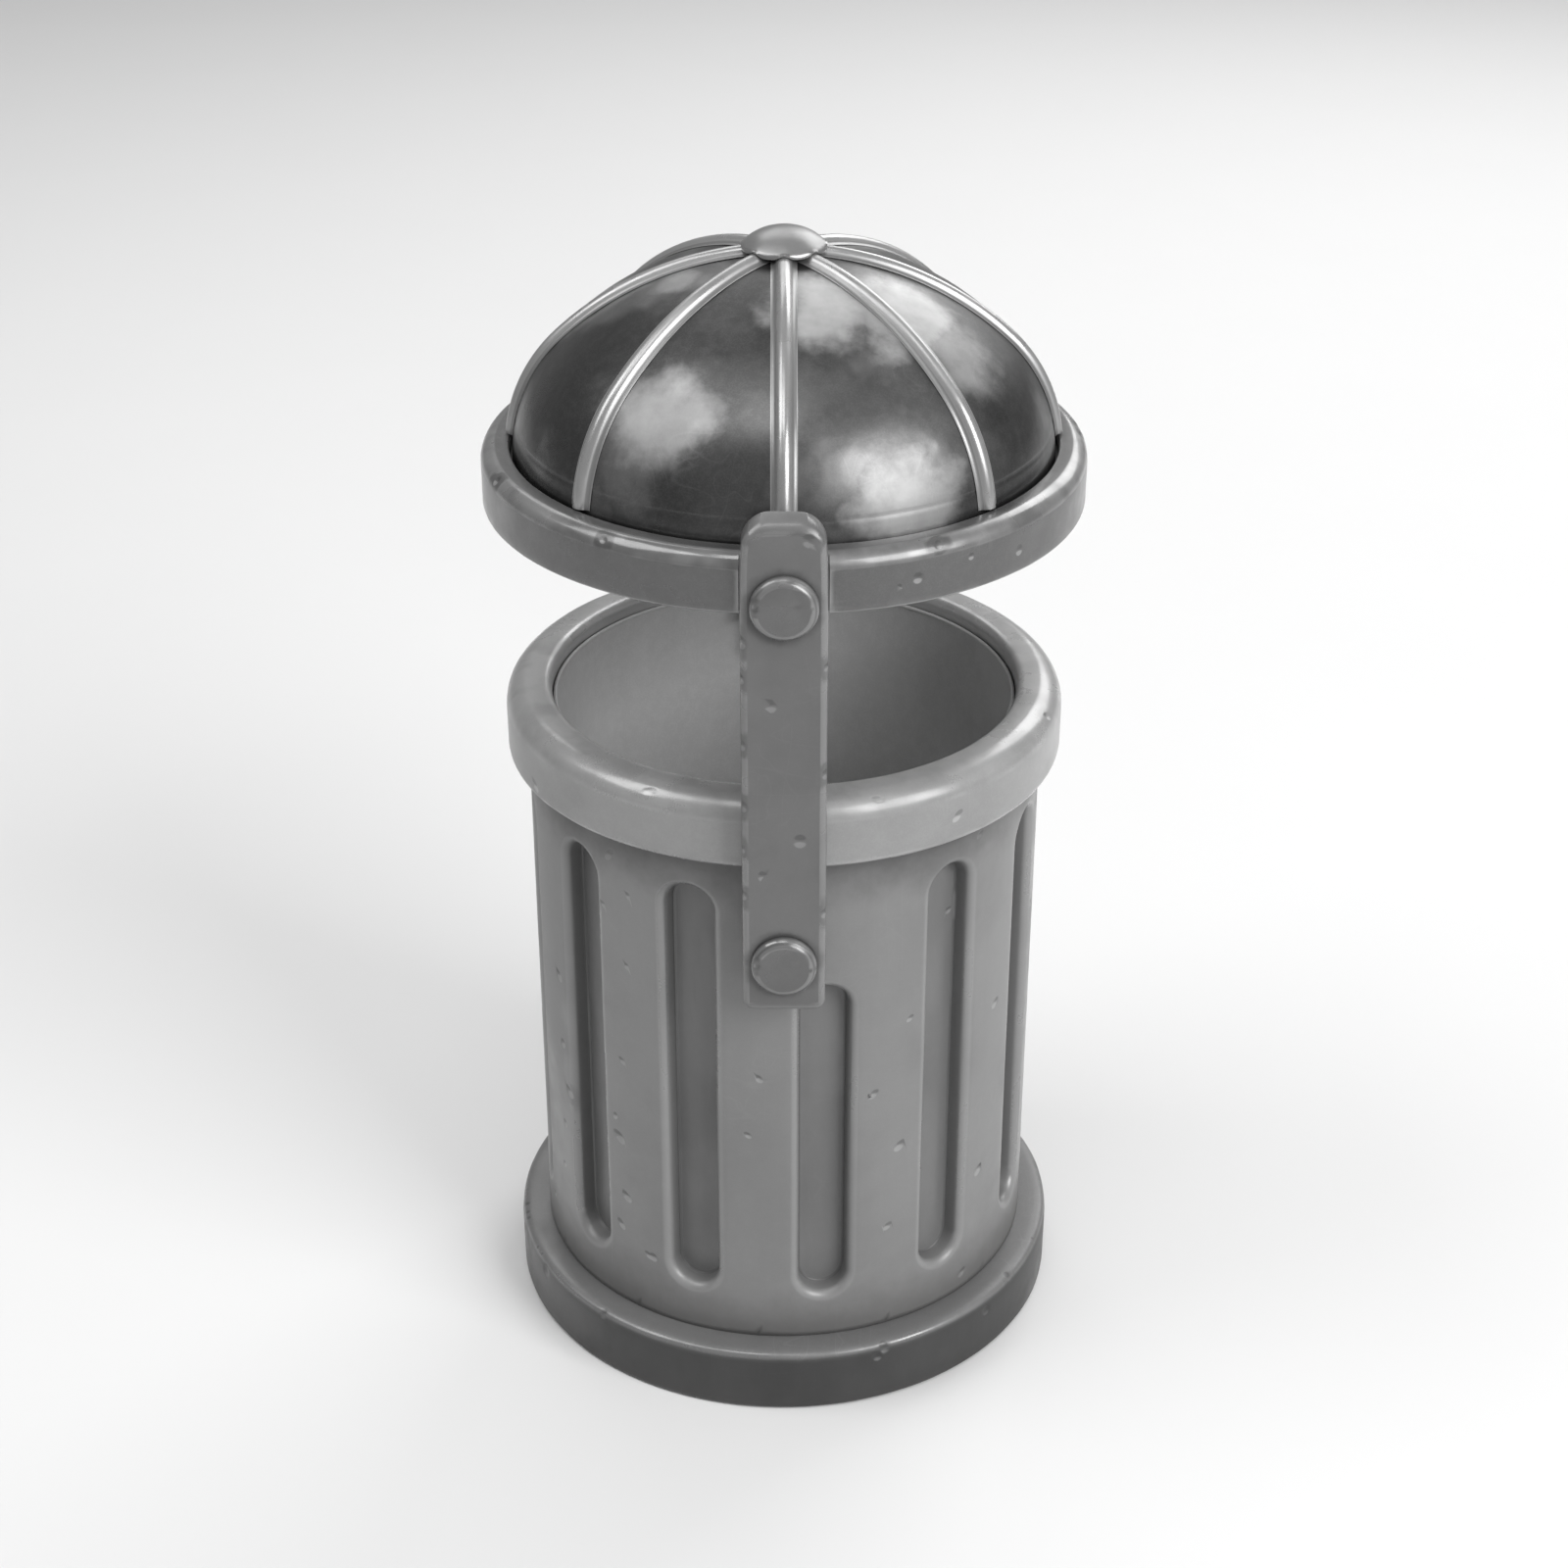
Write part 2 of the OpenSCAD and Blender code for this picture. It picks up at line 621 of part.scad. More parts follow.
// Arms
module arm_outline(inset) {
    half = arm_w / 2 - inset;
    low = arm_z + inset;
    high = arm_top - inset;
    up_r = arm_top_r - inset;
    low_r = arm_foot_r - inset;
    translate([-half, low + low_r]) square([2 * half, high - low - up_r - low_r]);
    translate([up_r - half, high - up_r - cut]) square([2 * (half - up_r), up_r + cut]);
    translate([low_r - half, low]) square([2 * (half - low_r), low_r + cut]);
    for (side = [-1, 1]) {
        translate([side * (half - up_r), high - up_r]) circle(r = up_r);
        translate([side * (half - low_r), low + low_r]) circle(r = low_r);
    }
}
module arm()
    color(satin_grey) difference() {
        facing_front(arm_back, 0) {
            linear_extrude(height = arm_t - arm_bevel) arm_outline(0);
            hull($fn = 32) {
                translate([0, 0, arm_t - arm_bevel - 0.02]) linear_extrude(height = 0.02) arm_outline(0);
                translate([0, 0, arm_t - 0.02]) linear_extrude(height = 0.02) arm_outline(arm_bevel);
            }
        }
        facing_front(arm_back - cut, pivot_z)
            cylinder(r = pivot_bolt_r + bush_wall + 2 * run_gap, h = arm_t + 2 * cut);
        facing_front(arm_back - cut, upper_bolt_z) cylinder(r = upper_bolt_r + hole_gap, h = arm_t + 2 * cut);
    }
module pivot_bush()
    color(bronze) facing_front(arm_back, pivot_z)
        tube(pivot_bolt_r + run_gap + bush_wall, pivot_bolt_r + run_gap, arm_t);

// Band of the hood
module band_section()
    difference() {
        edge_rounded(lip_r, band_z, band_r, band_top, band_edge_r, 3);
        translate([lip_r - cut, ledge_top])
            square([band_in_r - lip_r + cut, band_top - lip_t - ledge_top]);
        translate([lip_r - cut, band_z - cut]) square([band_in_r - lip_r + cut, ledge_rise + cut]);
    }
module arm_notch()
    translate([0, 0, band_z - cut]) linear_extrude(height = band_h + 2 * cut)
        polygon([
            [-arm_w / 2 - body_gap, -arm_back], [-arm_w / 2 - body_gap, -arm_back - 5],
            [-arm_w / 2 - 5, -band_r - cut], [arm_w / 2 + 5, -band_r - cut],
            [arm_w / 2 + body_gap, -arm_back - 5], [arm_w / 2 + body_gap, -arm_back]
        ]);
module arm_seat()
    translate([-seat_half_w, -arm_back, band_z]) cube([2 * seat_half_w, seat_t, band_h - lip_t + cut]);
module lid_band()
    color(satin_grey) difference() {
        union() {
            rotate_extrude() {
                band_section();
                translate([ledge_r, ledge_z]) square([ledge_w + cut, ledge_t]);
            }
            arm_seat();
            at_rear() arm_seat();
        }
        for (a = [0, 180]) at_azimuth(a) {
            arm_notch();
            facing_front(seat_back - cut, upper_bolt_z) cylinder(r = upper_bolt_r + hole_gap, h = band_r);
        }
        around(rib_count, flange_screw_circle_r, rib_pitch / 2)
            translate([0, 0, ledge_z - cut]) cylinder(r = screw_r + hole_gap, h = ledge_t + 2 * cut);
    }
module upper_bolt()
    color(satin_grey) facing_front(arm_face, upper_bolt_z)
        headed_bolt(upper_bolt_r, arm_face - seat_back + upper_nut_t + 5);
module upper_washers()
    color(zinc_grey) for (a = [0, 180]) at_azimuth(a)
        facing_front(seat_back - 2.5, upper_bolt_z)
            tube(1.68 * upper_bolt_r, upper_bolt_r + run_gap, 2.5);
module upper_nuts()
    color(zinc_grey) for (a = [0, 180]) at_azimuth(a)
        facing_front(seat_back - 2.5 - upper_nut_t, upper_bolt_z)
            hex_nut(3 * upper_bolt_r, upper_nut_t, upper_bolt_r + run_gap);

// Dome of the hood. Its section is filled out to the axis; inset moves the surface inwards.
module wedge(from, to, reach)
    polygon([
        [0, 0], [reach * cos(from), reach * sin(from)],
        [reach * cos((from + to) / 2), reach * sin((from + to) / 2)], [reach * cos(to), reach * sin(to)]
    ]);
module dome_filled(inset) {
    translate([0, crown_z]) intersection() {
        circle(r = crown_r - inset);
        wedge(meet_angle, 90, 2 * crown_r);
    }
    translate([shoulder_x, shoulder_z]) intersection() {
        circle(r = knuckle_r - inset);
        wedge(0, meet_angle + 10, 2 * knuckle_r);
    }
    translate([0, crown_z]) square([shoulder_x + cut, shoulder_z - crown_z]);
    translate([0, ledge_top]) square([dome_r - inset, dome_skirt]);
}
module dome_section()
    intersection() {
        difference() {
            dome_filled(0);
            difference() {
                dome_filled(dome_wall);
                translate([dome_r - flange_w, 0]) square([flange_w, ledge_top + dome_wall]);
            }
        }
        translate([0, ledge_top]) square([dome_r + cut, crown_r]);
    }
// Puts a shape that lies along +X on the dome's arc: tilt is the height angle of its place
module on_knuckle(tilt)
    translate([shoulder_x, 0, shoulder_z]) rotate([90, 0, 0]) rotate([0, 0, tilt]) children();
module on_crown(tilt)
    translate([0, 0, crown_z]) rotate([90, 0, 0]) rotate([0, 0, tilt]) children();
module towards_rib(k) rotate([0, 0, k * rib_pitch - 90]) children();
module stud_pair(inner, length, radius) {
    on_knuckle(low_stud_angle) translate([knuckle_r - inner, 0, 0]) rotate([0, 90, 0])
        cylinder(r = radius, h = length);
    on_crown(high_stud_angle) translate([crown_r - inner, 0, 0]) rotate([0, 90, 0])
        cylinder(r = radius, h = length);
}
module dome_shell()
    color(dark_steel) difference() {
        rotate_extrude() dome_section();
        around(rib_count, flange_screw_circle_r, rib_pitch / 2)
            translate([0, 0, ledge_top - cut]) cylinder(r = screw_r + hole_gap, h = dome_wall + 2 * cut);
        for (k = [0 : rib_count - 1]) towards_rib(k) stud_pair(stud_reach, 2 * stud_reach, screw_r + hole_gap);
        translate([0, 0, apex_z - 10]) cylinder(r = cap_stud_r + hole_gap, h = 20);
    }
module dome_screws()
    color(zinc_grey) around(rib_count, flange_screw_circle_r, rib_pitch / 2)
        translate([0, 0, ledge_top + dome_wall]) small_screw(1.8 * screw_r, dome_wall + ledge_t + 1.8 * screw_r);
module dome_nuts()
    color(zinc_grey) around(rib_count, flange_screw_circle_r, rib_pitch / 2)
        translate([0, 0, ledge_z - 1.6 * screw_r]) hex_nut(3.3 * screw_r, 1.6 * screw_r, screw_r + run_gap);

// Ribs: a rounded bar bent to the dome's two arcs, with a welded stud near each end
module rib_section(shrink = 0)
    intersection() {
        translate([rib_proud - rib_round_r, 0]) circle(r = rib_round_r - shrink);
        translate([seat_gap + shrink, -rib_w]) square([2 * rib_w, 2 * rib_w]);
    }
module rib(k)
    color(bright_steel) towards_rib(k) {
        on_knuckle(rib_foot_angle) rotate_extrude(angle = meet_angle - rib_foot_angle)
            translate([knuckle_r, 0]) rib_section();
        on_crown(meet_angle - rib_lap_angle) rotate_extrude(angle = rib_end_angle - meet_angle + rib_lap_angle)
            translate([crown_r, 0]) rib_section(rib_lap_step);
        stud_pair(stud_reach, stud_reach + rib_proud / 2, screw_r);
    }
module rib_nuts()
    color(zinc_grey) for (k = [0 : rib_count - 1]) towards_rib(k) {
        on_knuckle(low_stud_angle) translate([knuckle_r - dome_wall - 1.6 * screw_r - seat_gap, 0, 0])
            rotate([0, 90, 0]) hex_nut(3.3 * screw_r, 1.6 * screw_r, screw_r + run_gap);
        on_crown(high_stud_angle) translate([crown_r - dome_wall - 1.6 * screw_r - seat_gap, 0, 0])
            rotate([0, 90, 0]) hex_nut(3.3 * screw_r, 1.6 * screw_r, screw_r + run_gap);
    }

// Cap over the ribs' upper ends
module cap_section()
    difference() {
        union() {
            translate([0, cap_z]) square([cap_r, cap_rim_h]);
            intersection() {
                translate([0, cap_top - cap_round_r]) circle(r = cap_round_r);
                translate([0, cap_rim_top - cut]) square([cap_r, cap_crown_h + 2 * cut]);
            }
        }
        translate([cap_boss_r, cap_z - cut]) square([cap_r - cap_rim_w - cap_boss_r, cap_hollow_top - cap_z + cut]);
    }
module cap()
    color(bright_steel) difference() {
        union() {
            rotate_extrude() cap_section();
            translate([0, 0, apex_z + seat_gap]) cylinder(r = cap_boss_r, h = cap_rim_h);
            translate([0, 0, cap_stud_end]) cylinder(r = cap_stud_r, h = cap_top - 5 - cap_stud_end);
        }
        difference() {
            cylinder(r = cap_boss_r + cut, h = apex_z + seat_gap);
            cylinder(r = cap_stud_r, h = cap_top);
        }
        for (k = [0 : rib_count - 1]) towards_rib(k)
            on_crown(acos((cap_r - cap_rim_w / 2) / crown_r)) translate([crown_r + rib_proud - rib_round_r, 0, 0])
                rotate([90, 0, 0]) cylinder(r = rib_round_r + body_gap, h = 16, center = true);
    }
module hub_plate()
    color(zinc_grey) translate([0, 0, hub_top - hub_plate_t])
        tube(hub_plate_r, cap_stud_r + run_gap, hub_plate_t);
module hub_nut()
    color(zinc_grey) translate([0, 0, hub_top - hub_plate_t - hub_nut_t])
        hex_nut(3.1 * cap_stud_r, hub_nut_t, cap_stud_r + run_gap);

// Base and body
base_ring();
floor_plate();
floor_screws();
rest_pads();
shell();
collar();
tie_rods();
tie_rod_washers();
tie_rod_nuts();
pivot_boss();  // pivot_boss_front
at_rear() pivot_boss();  // pivot_boss_rear
pivot_pad();  // pivot_pad_front
at_rear() pivot_pad();  // pivot_pad_rear
pivot_bolt();  // pivot_bolt_front
at_rear() pivot_bolt();  // pivot_bolt_rear
pivot_nut();  // pivot_nut_front
at_rear() pivot_nut();  // pivot_nut_rear
friction_washer();  // friction_washer_front
at_rear() friction_washer();  // friction_washer_rear
// Liner
liner();
handle_bracket();  // handle_bracket_front
at_rear() handle_bracket();  // handle_bracket_rear
bracket_rivets();
drop_handle();  // handle_front
at_rear() drop_handle();  // handle_rear
// Hood
arm();  // arm_front
at_rear() arm();  // arm_rear
pivot_bush();  // pivot_bush_front
at_rear() pivot_bush();  // pivot_bush_rear
lid_band();
upper_bolt();  // upper_bolt_front
at_rear() upper_bolt();  // upper_bolt_rear
upper_washers();
upper_nuts();
dome_shell();
dome_screws();
dome_nuts();
for (k = [1 : rib_count]) {
    rib(k - 1);
}
rib_nuts();
cap();
hub_plate();
hub_nut();
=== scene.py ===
"""Outdoor waste bin with a domed hood on two swing arms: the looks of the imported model.

Each class under Sub-assemblies builds some of the bin's pieces with bmesh operators in
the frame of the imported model, in metres, and gives them their finish.
Azimuths are counted from the front (-Y) towards +X, as in the part's source.
"""
import logging
import random
from dataclasses import dataclass, replace
from enum import Enum
from math import acos, asin, atan2, copysign, cos, degrees, exp, pi, radians, sin, sqrt, tan
from typing import Callable, Iterable, Mapping, Optional, Sequence, Union

import bmesh
import bpy
from mathutils import Matrix, Vector, geometry, kdtree, noise


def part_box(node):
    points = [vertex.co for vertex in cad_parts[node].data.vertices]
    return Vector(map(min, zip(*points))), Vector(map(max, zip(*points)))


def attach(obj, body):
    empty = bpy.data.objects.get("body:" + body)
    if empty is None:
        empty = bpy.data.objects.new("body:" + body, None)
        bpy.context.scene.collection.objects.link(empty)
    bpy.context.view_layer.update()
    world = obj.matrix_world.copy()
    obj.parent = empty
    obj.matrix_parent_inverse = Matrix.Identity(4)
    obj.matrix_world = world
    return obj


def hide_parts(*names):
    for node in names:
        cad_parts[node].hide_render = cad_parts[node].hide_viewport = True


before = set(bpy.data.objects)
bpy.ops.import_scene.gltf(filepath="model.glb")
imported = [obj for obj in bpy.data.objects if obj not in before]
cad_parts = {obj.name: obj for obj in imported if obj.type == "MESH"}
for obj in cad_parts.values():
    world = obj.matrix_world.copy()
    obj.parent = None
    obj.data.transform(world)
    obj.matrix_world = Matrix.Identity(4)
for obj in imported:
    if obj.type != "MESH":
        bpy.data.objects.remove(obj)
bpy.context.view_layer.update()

LOG = logging.getLogger("waste_bin")
MM = 0.001
TINY = 1e-6
SIDES = (("front", 0.0), ("rear", 180.0))
PIVOT_Z, UPPER_Z = 0.564, 0.9412
HEAD_R = 0.032
# How far out a dent is pressed, meshed finely and marked, where 1 is its own half width or length
DENT_END, REFINED_TO, MARKED_TO = 1.3, 1.5, 2.6
# Edges near a dent are split while they are longer than this share of its radius
SPLIT_ABOVE = 0.42

Mesh = bmesh.types.BMesh
Vert = bmesh.types.BMVert
Edge = bmesh.types.BMEdge
Piece = bpy.types.Object
Tree = bpy.types.NodeTree
Socket = bpy.types.NodeSocket
Value = Union[float, Sequence[float], Socket]


class Body(Enum):
    """Moving bodies of the bin that take new pieces."""

    BIN = "bin_body"
    LINER = "liner_bucket"
    HOOD = "hood"


class Slot(Enum):
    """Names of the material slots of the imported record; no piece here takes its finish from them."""

    BASE = "base_iron"
    SHELL = "shell_paint"
    COLLAR = "collar_paint"
    ARM = "arm_metal"
    BAND = "band_metal"
    HEAD = "bolt_heads"
    DOME = "dome_metal"
    RIB = "rib_metal"
    ZINC = "zinc_steel"


class Work(Enum):
    """Ways to work one solid with another."""

    CUT = "DIFFERENCE"
    JOIN = "UNION"


# Shader nodes


class Wiring:
    """Short calls that add nodes to one shader tree and join them."""

    def __init__(self, tree: Tree) -> None:
        """Start wiring the tree of a material or a group."""
        self.tree = tree

    def feed(self, socket: Socket, value: Value) -> None:
        """Join an output to a socket, or set the socket's own value.

        Args:
            socket: The input socket.
            value: An output socket, a number or a colour.
        """
        if isinstance(value, Socket):
            self.tree.links.new(value, socket)
        else:
            socket.default_value = value

    def node(
        self, kind: str, inputs: Optional[Mapping[Union[int, str], Value]] = None, **settings: object,
    ) -> bpy.types.Node:
        """Add a node, set its properties and feed its inputs.

        Args:
            kind: Blender's name of the node type.
            inputs: What its inputs take, by their name or number.
            **settings: Properties to set on it.

        Returns:
            The new node.
        """
        made = self.tree.nodes.new(kind)
        for name, value in settings.items():
            setattr(made, name, value)
        for key, value in (inputs or {}).items():
            self.feed(made.inputs[key], value)
        return made

    def group(self, tree: Tree, **values: Value) -> dict[str, Socket]:
        """Place a node group with its own values and return its outputs by name."""
        return dict(self.node("ShaderNodeGroup", values, node_tree=tree).outputs.items())

    def mask(self, tree: Tree, **values: Value) -> Socket:
        """Place a node group with its own values and return its mask."""
        return self.group(tree, **values)["Mask"]

    def given(self, name: str) -> Socket:
        """Return an input of the group that is wired."""
        return self.node("NodeGroupInput").outputs[name]

    def attribute(self, name: str) -> Socket:
        """Return an attribute that the piece carries itself."""
        return self.node("ShaderNodeAttribute", attribute_name=name).outputs["Fac"]

    def place(self) -> Socket:
        """Return the point on the piece in the frame that all pieces share."""
        return self.node("ShaderNodeTexCoord").outputs["Object"]

    def stretched(self, vector: Socket, scale: Sequence[float]) -> Socket:
        """Scale a vector by one factor an axis."""
        return self.node("ShaderNodeMapping", {"Vector": vector, "Scale": scale}).outputs[0]

    def apart(self, a: Value, b: Value) -> Socket:
        """Return the distance between two points."""
        return self.node("ShaderNodeVectorMath", {0: a, 1: b}, operation="DISTANCE").outputs["Value"]

    def noise(self, vector: Socket, scale: Value, detail: float = 3.0, rough: float = 0.5) -> Socket:
        """Return soft noise from 0 to 1, with its scale in waves a metre and detail in finer layers."""
        inputs = {"Vector": vector, "Scale": scale, "Detail": detail, "Roughness": rough}
        return self.node("ShaderNodeTexNoise", inputs).outputs[0]

    def cells(self, vector: Socket, scale: Value) -> Socket:
        """Return the distance to the nearest of scattered points, with their number a metre as scale."""
        return self.node("ShaderNodeTexVoronoi", {"Vector": vector, "Scale": scale}).outputs["Distance"]

    def math(self, operation: str, a: Value, b: Value = 0.0, clamp: bool = False) -> Socket:
        """Return the result of one sum, which clamp holds between 0 and 1."""
        return self.node("ShaderNodeMath", {0: a, 1: b}, operation=operation, use_clamp=clamp).outputs[0]

    def times(self, a: Value, b: Value) -> Socket:
        """Return the product of two values."""
        return self.math("MULTIPLY", a, b)

    def plus(self, a: Value, b: Value, clamp: bool = False) -> Socket:
        """Return the sum of two values, which clamp holds between 0 and 1."""
        return self.math("ADD", a, b, clamp)

    def less(self, a: Value, b: Value, clamp: bool = False) -> Socket:
        """Return the first value less the second, which clamp holds between 0 and 1."""
        return self.math("SUBTRACT", a, b, clamp)

    def ease(self, value: Value, low: Value, high: Value, start: Value = 0.0, end: Value = 1.0) -> Socket:
        """Turn the range from low to high smoothly into the range from start to end."""
        inputs = dict(enumerate((value, low, high, start, end)))
        return self.node("ShaderNodeMapRange", inputs, interpolation_type="SMOOTHSTEP", clamp=True).outputs[0]

    def blend(self, mask: Value, a: Value, b: Value) -> Socket:
        """Mix two colours, with the mask as the second one's share."""
        return self.node("ShaderNodeMix", {0: mask, 6: a, 7: b}, data_type="RGBA").outputs[2]


Rule = Callable[[Wiring], list[Socket]]


def effect(*outputs: str, **inputs: float) -> Callable[[Rule], Tree]:
    """Return the decorator that builds a rule of wear, texture, painted shade or painted light as a node
    group for all finishes.

    Args:
        *outputs: Names of the group's outputs, in the order in which the rule returns them.
        **inputs: Names and defaults of the group's inputs.

    Returns:
        The decorator, which puts the group in the rule's place.
    """
    def build(rule: Rule) -> Tree:
        """Open the group, wire it by the rule and return it.

        Args:
            rule: The rule.

        Returns:
            The group.
        """
        tree = bpy.data.node_groups.new(rule.__name__, "ShaderNodeTree")
        for name in outputs:
            tree.interface.new_socket(name, in_out="OUTPUT", socket_type="NodeSocketFloat")
        for name, default in inputs.items():
            socket = tree.interface.new_socket(name, in_out="INPUT", socket_type="NodeSocketFloat")
            socket.default_value = default
        w = Wiring(tree)
        w.node("NodeGroupOutput", dict(zip(outputs, rule(w))))
        return tree

    return build


@effect("Mask", Scale=8.0, Low=0.4, High=0.62)
def cloudy_patches(w: Wiring) -> list[Socket]:
    """Build soft patches, which rise from 0 to 1 where the noise goes from Low to High."""
    return [w.ease(w.noise(w.place(), w.given("Scale"), 4.0, 0.55), w.given("Low"), w.given("High"))]


@effect("Mask", "Height", Scale=700.0)
def fine_grain(w: Wiring) -> list[Socket]:
    """Build the fine grain of cast or painted metal.

    Args:
        w: The group's wiring.

    Returns:
        The mask and the height.
    """
    place = w.place()
    fine = w.noise(place, w.given("Scale"), 2.0, 0.6)
    coarse = w.noise(place, w.times(w.given("Scale"), 0.17), 3.0, 0.55)
    both = w.plus(w.times(fine, 0.6), w.times(coarse, 0.4))
    return [w.ease(both, 0.42, 0.62), both]


@effect("Mask", Least=0.35)
def edge_wear_and_sheen(w: Wiring) -> list[Socket]:
    """Build the lighter rounded edges, from each piece's own edge attribute: edge wear, and a painted sheen
    where the mask is kept nearly whole, as along the band's top edge and the shell's lips.
    """
    broken = w.ease(w.noise(w.place(), 30.0, 2.0, 0.5), 0.3, 0.62, w.given("Least"), 1.0)
    return [w.ease(w.times(w.attribute("edge"), broken), 0.2, 0.9)]


@effect("Mask")
def shade_in_corners(w: Wiring) -> list[Socket]:
    """Build the painted shade in inner corners, from each piece's own crease attribute."""
    return [w.ease(w.attribute("crease"), 0.5, 1.0)]


@effect("Mask", Least=0.72)
def hollow_shading(w: Wiring) -> list[Socket]:
    """Build the painted tone of hollows, from each piece's own hollow attribute: painted shade in the shell's
    flutes and on the base's upright wall, painted light in the collar's bore.

    Args:
        w: The group's wiring.

    Returns:
        The mask.
    """
    drawn = w.noise(w.stretched(w.place(), (1.0, 1.0, 0.3)), 22.0, 4.0, 0.6)
    patchy = w.ease(drawn, 0.25, 0.7, w.given("Least"), 1.0)
    return [w.times(w.ease(w.attribute("hollow"), 0.1, 0.9), patchy)]


@effect("Mask")
def upright_streaks(w: Wiring) -> list[Socket]:
    """Build faint upright run-off streaks."""
    drawn = w.stretched(w.place(), (1.0, 1.0, 0.07))
    return [w.ease(w.noise(drawn, 55.0, 4.0, 0.6), 0.42, 0.68)]


@effect("Mask", Bottom=0.0, Top=0.1)
def height_fade(w: Wiring) -> list[Socket]:
    """Build a mask that is full at height Bottom and gone, raggedly, at height Top; it carries painted shade
    low on the base and the shell and under the collar, and darkens the floor sheet towards the bottom.

    Args:
        w: The group's wiring.

    Returns:
        The mask.
    """
    place = w.place()
    ragged = w.times(w.less(w.noise(place, 25.0, 4.0, 0.6), 0.5), 0.05)
    height = w.plus(w.node("ShaderNodeSeparateXYZ", {0: place}).outputs["Z"], ragged)
    return [w.ease(height, w.given("Bottom"), w.given("Top"), 1.0, 0.0)]


@effect("Mask", "Height")
def scattered_pits(w: Wiring) -> list[Socket]:
    """Build small scattered pits, whose height is below 0.

    Args:
        w: The group's wiring.

    Returns:
        The mask and the height.
    """
    place = w.place()
    pit = w.ease(w.cells(place, 85.0), 0.0, 0.12, 1.0, 0.0)
    kept = w.times(pit, w.ease(w.noise(place, 14.0, 2.0), 0.5, 0.6))
    return [kept, w.times(kept, -1.0)]


@effect("Mask")
def fine_scratches(w: Wiring) -> list[Socket]:
    """Build fine crossing scratches.

    Args:
        w: The group's wiring.

    Returns:
        The mask.
    """
    place = w.place()
    most: Value = 0.0
    for stretch in ((1.0, 1.0, 0.16), (0.2, 1.0, 1.0), (1.0, 0.24, 0.7)):
        drawn = w.noise(w.stretched(place, stretch), 26.0, 1.0, 0.4)
        off = w.math("ABSOLUTE", w.less(drawn, 0.5))
        most = w.math("MAXIMUM", most, w.ease(off, 0.0, 0.010, 1.0, 0.0))
    return [w.times(most, w.ease(w.noise(place, 11.0, 3.0), 0.48, 0.66))]


@effect("Lit", "Shaded")
def knock_light_and_shade(w: Wiring) -> list[Socket]:
    """Build the painted light on the lower side and the painted shade on the upper side of knocks, from the
    chip attribute.
    """
    return [w.ease(w.times(w.attribute("chip"), way), 0.08, 0.5) for way in (1.0, -1.0)]


@effect("Mask")
def shade_round_heads(w: Wiring) -> list[Socket]:
    """Build the painted shade round the two bolt heads that stand over each other on each arm.

    Args:
        w: The group's wiring.

    Returns:
        The mask.
    """
    place = w.place()
    flat = w.stretched(place, (1.0, 0.0, 1.0))
    nearest: Value = 1.0
    for height in (PIVOT_Z, UPPER_Z):
        nearest = w.math("MINIMUM", nearest, w.apart(flat, (0.0, 0.0, height)))
    ragged = w.times(w.less(w.noise(place, 60.0, 3.0), 0.5), 0.012)
    return [w.ease(w.less(w.plus(nearest, ragged), HEAD_R), 0.0, 0.009, 1.0, 0.0)]


def grey(level: float, warmth: float = 0.0) -> tuple[float, float, float, float]:
    """Return a grey of a linear brightness, whose red rises and blue falls by a share."""
    return (level * (1.0 + warmth), level, level * (1.0 - warmth), 1.0)


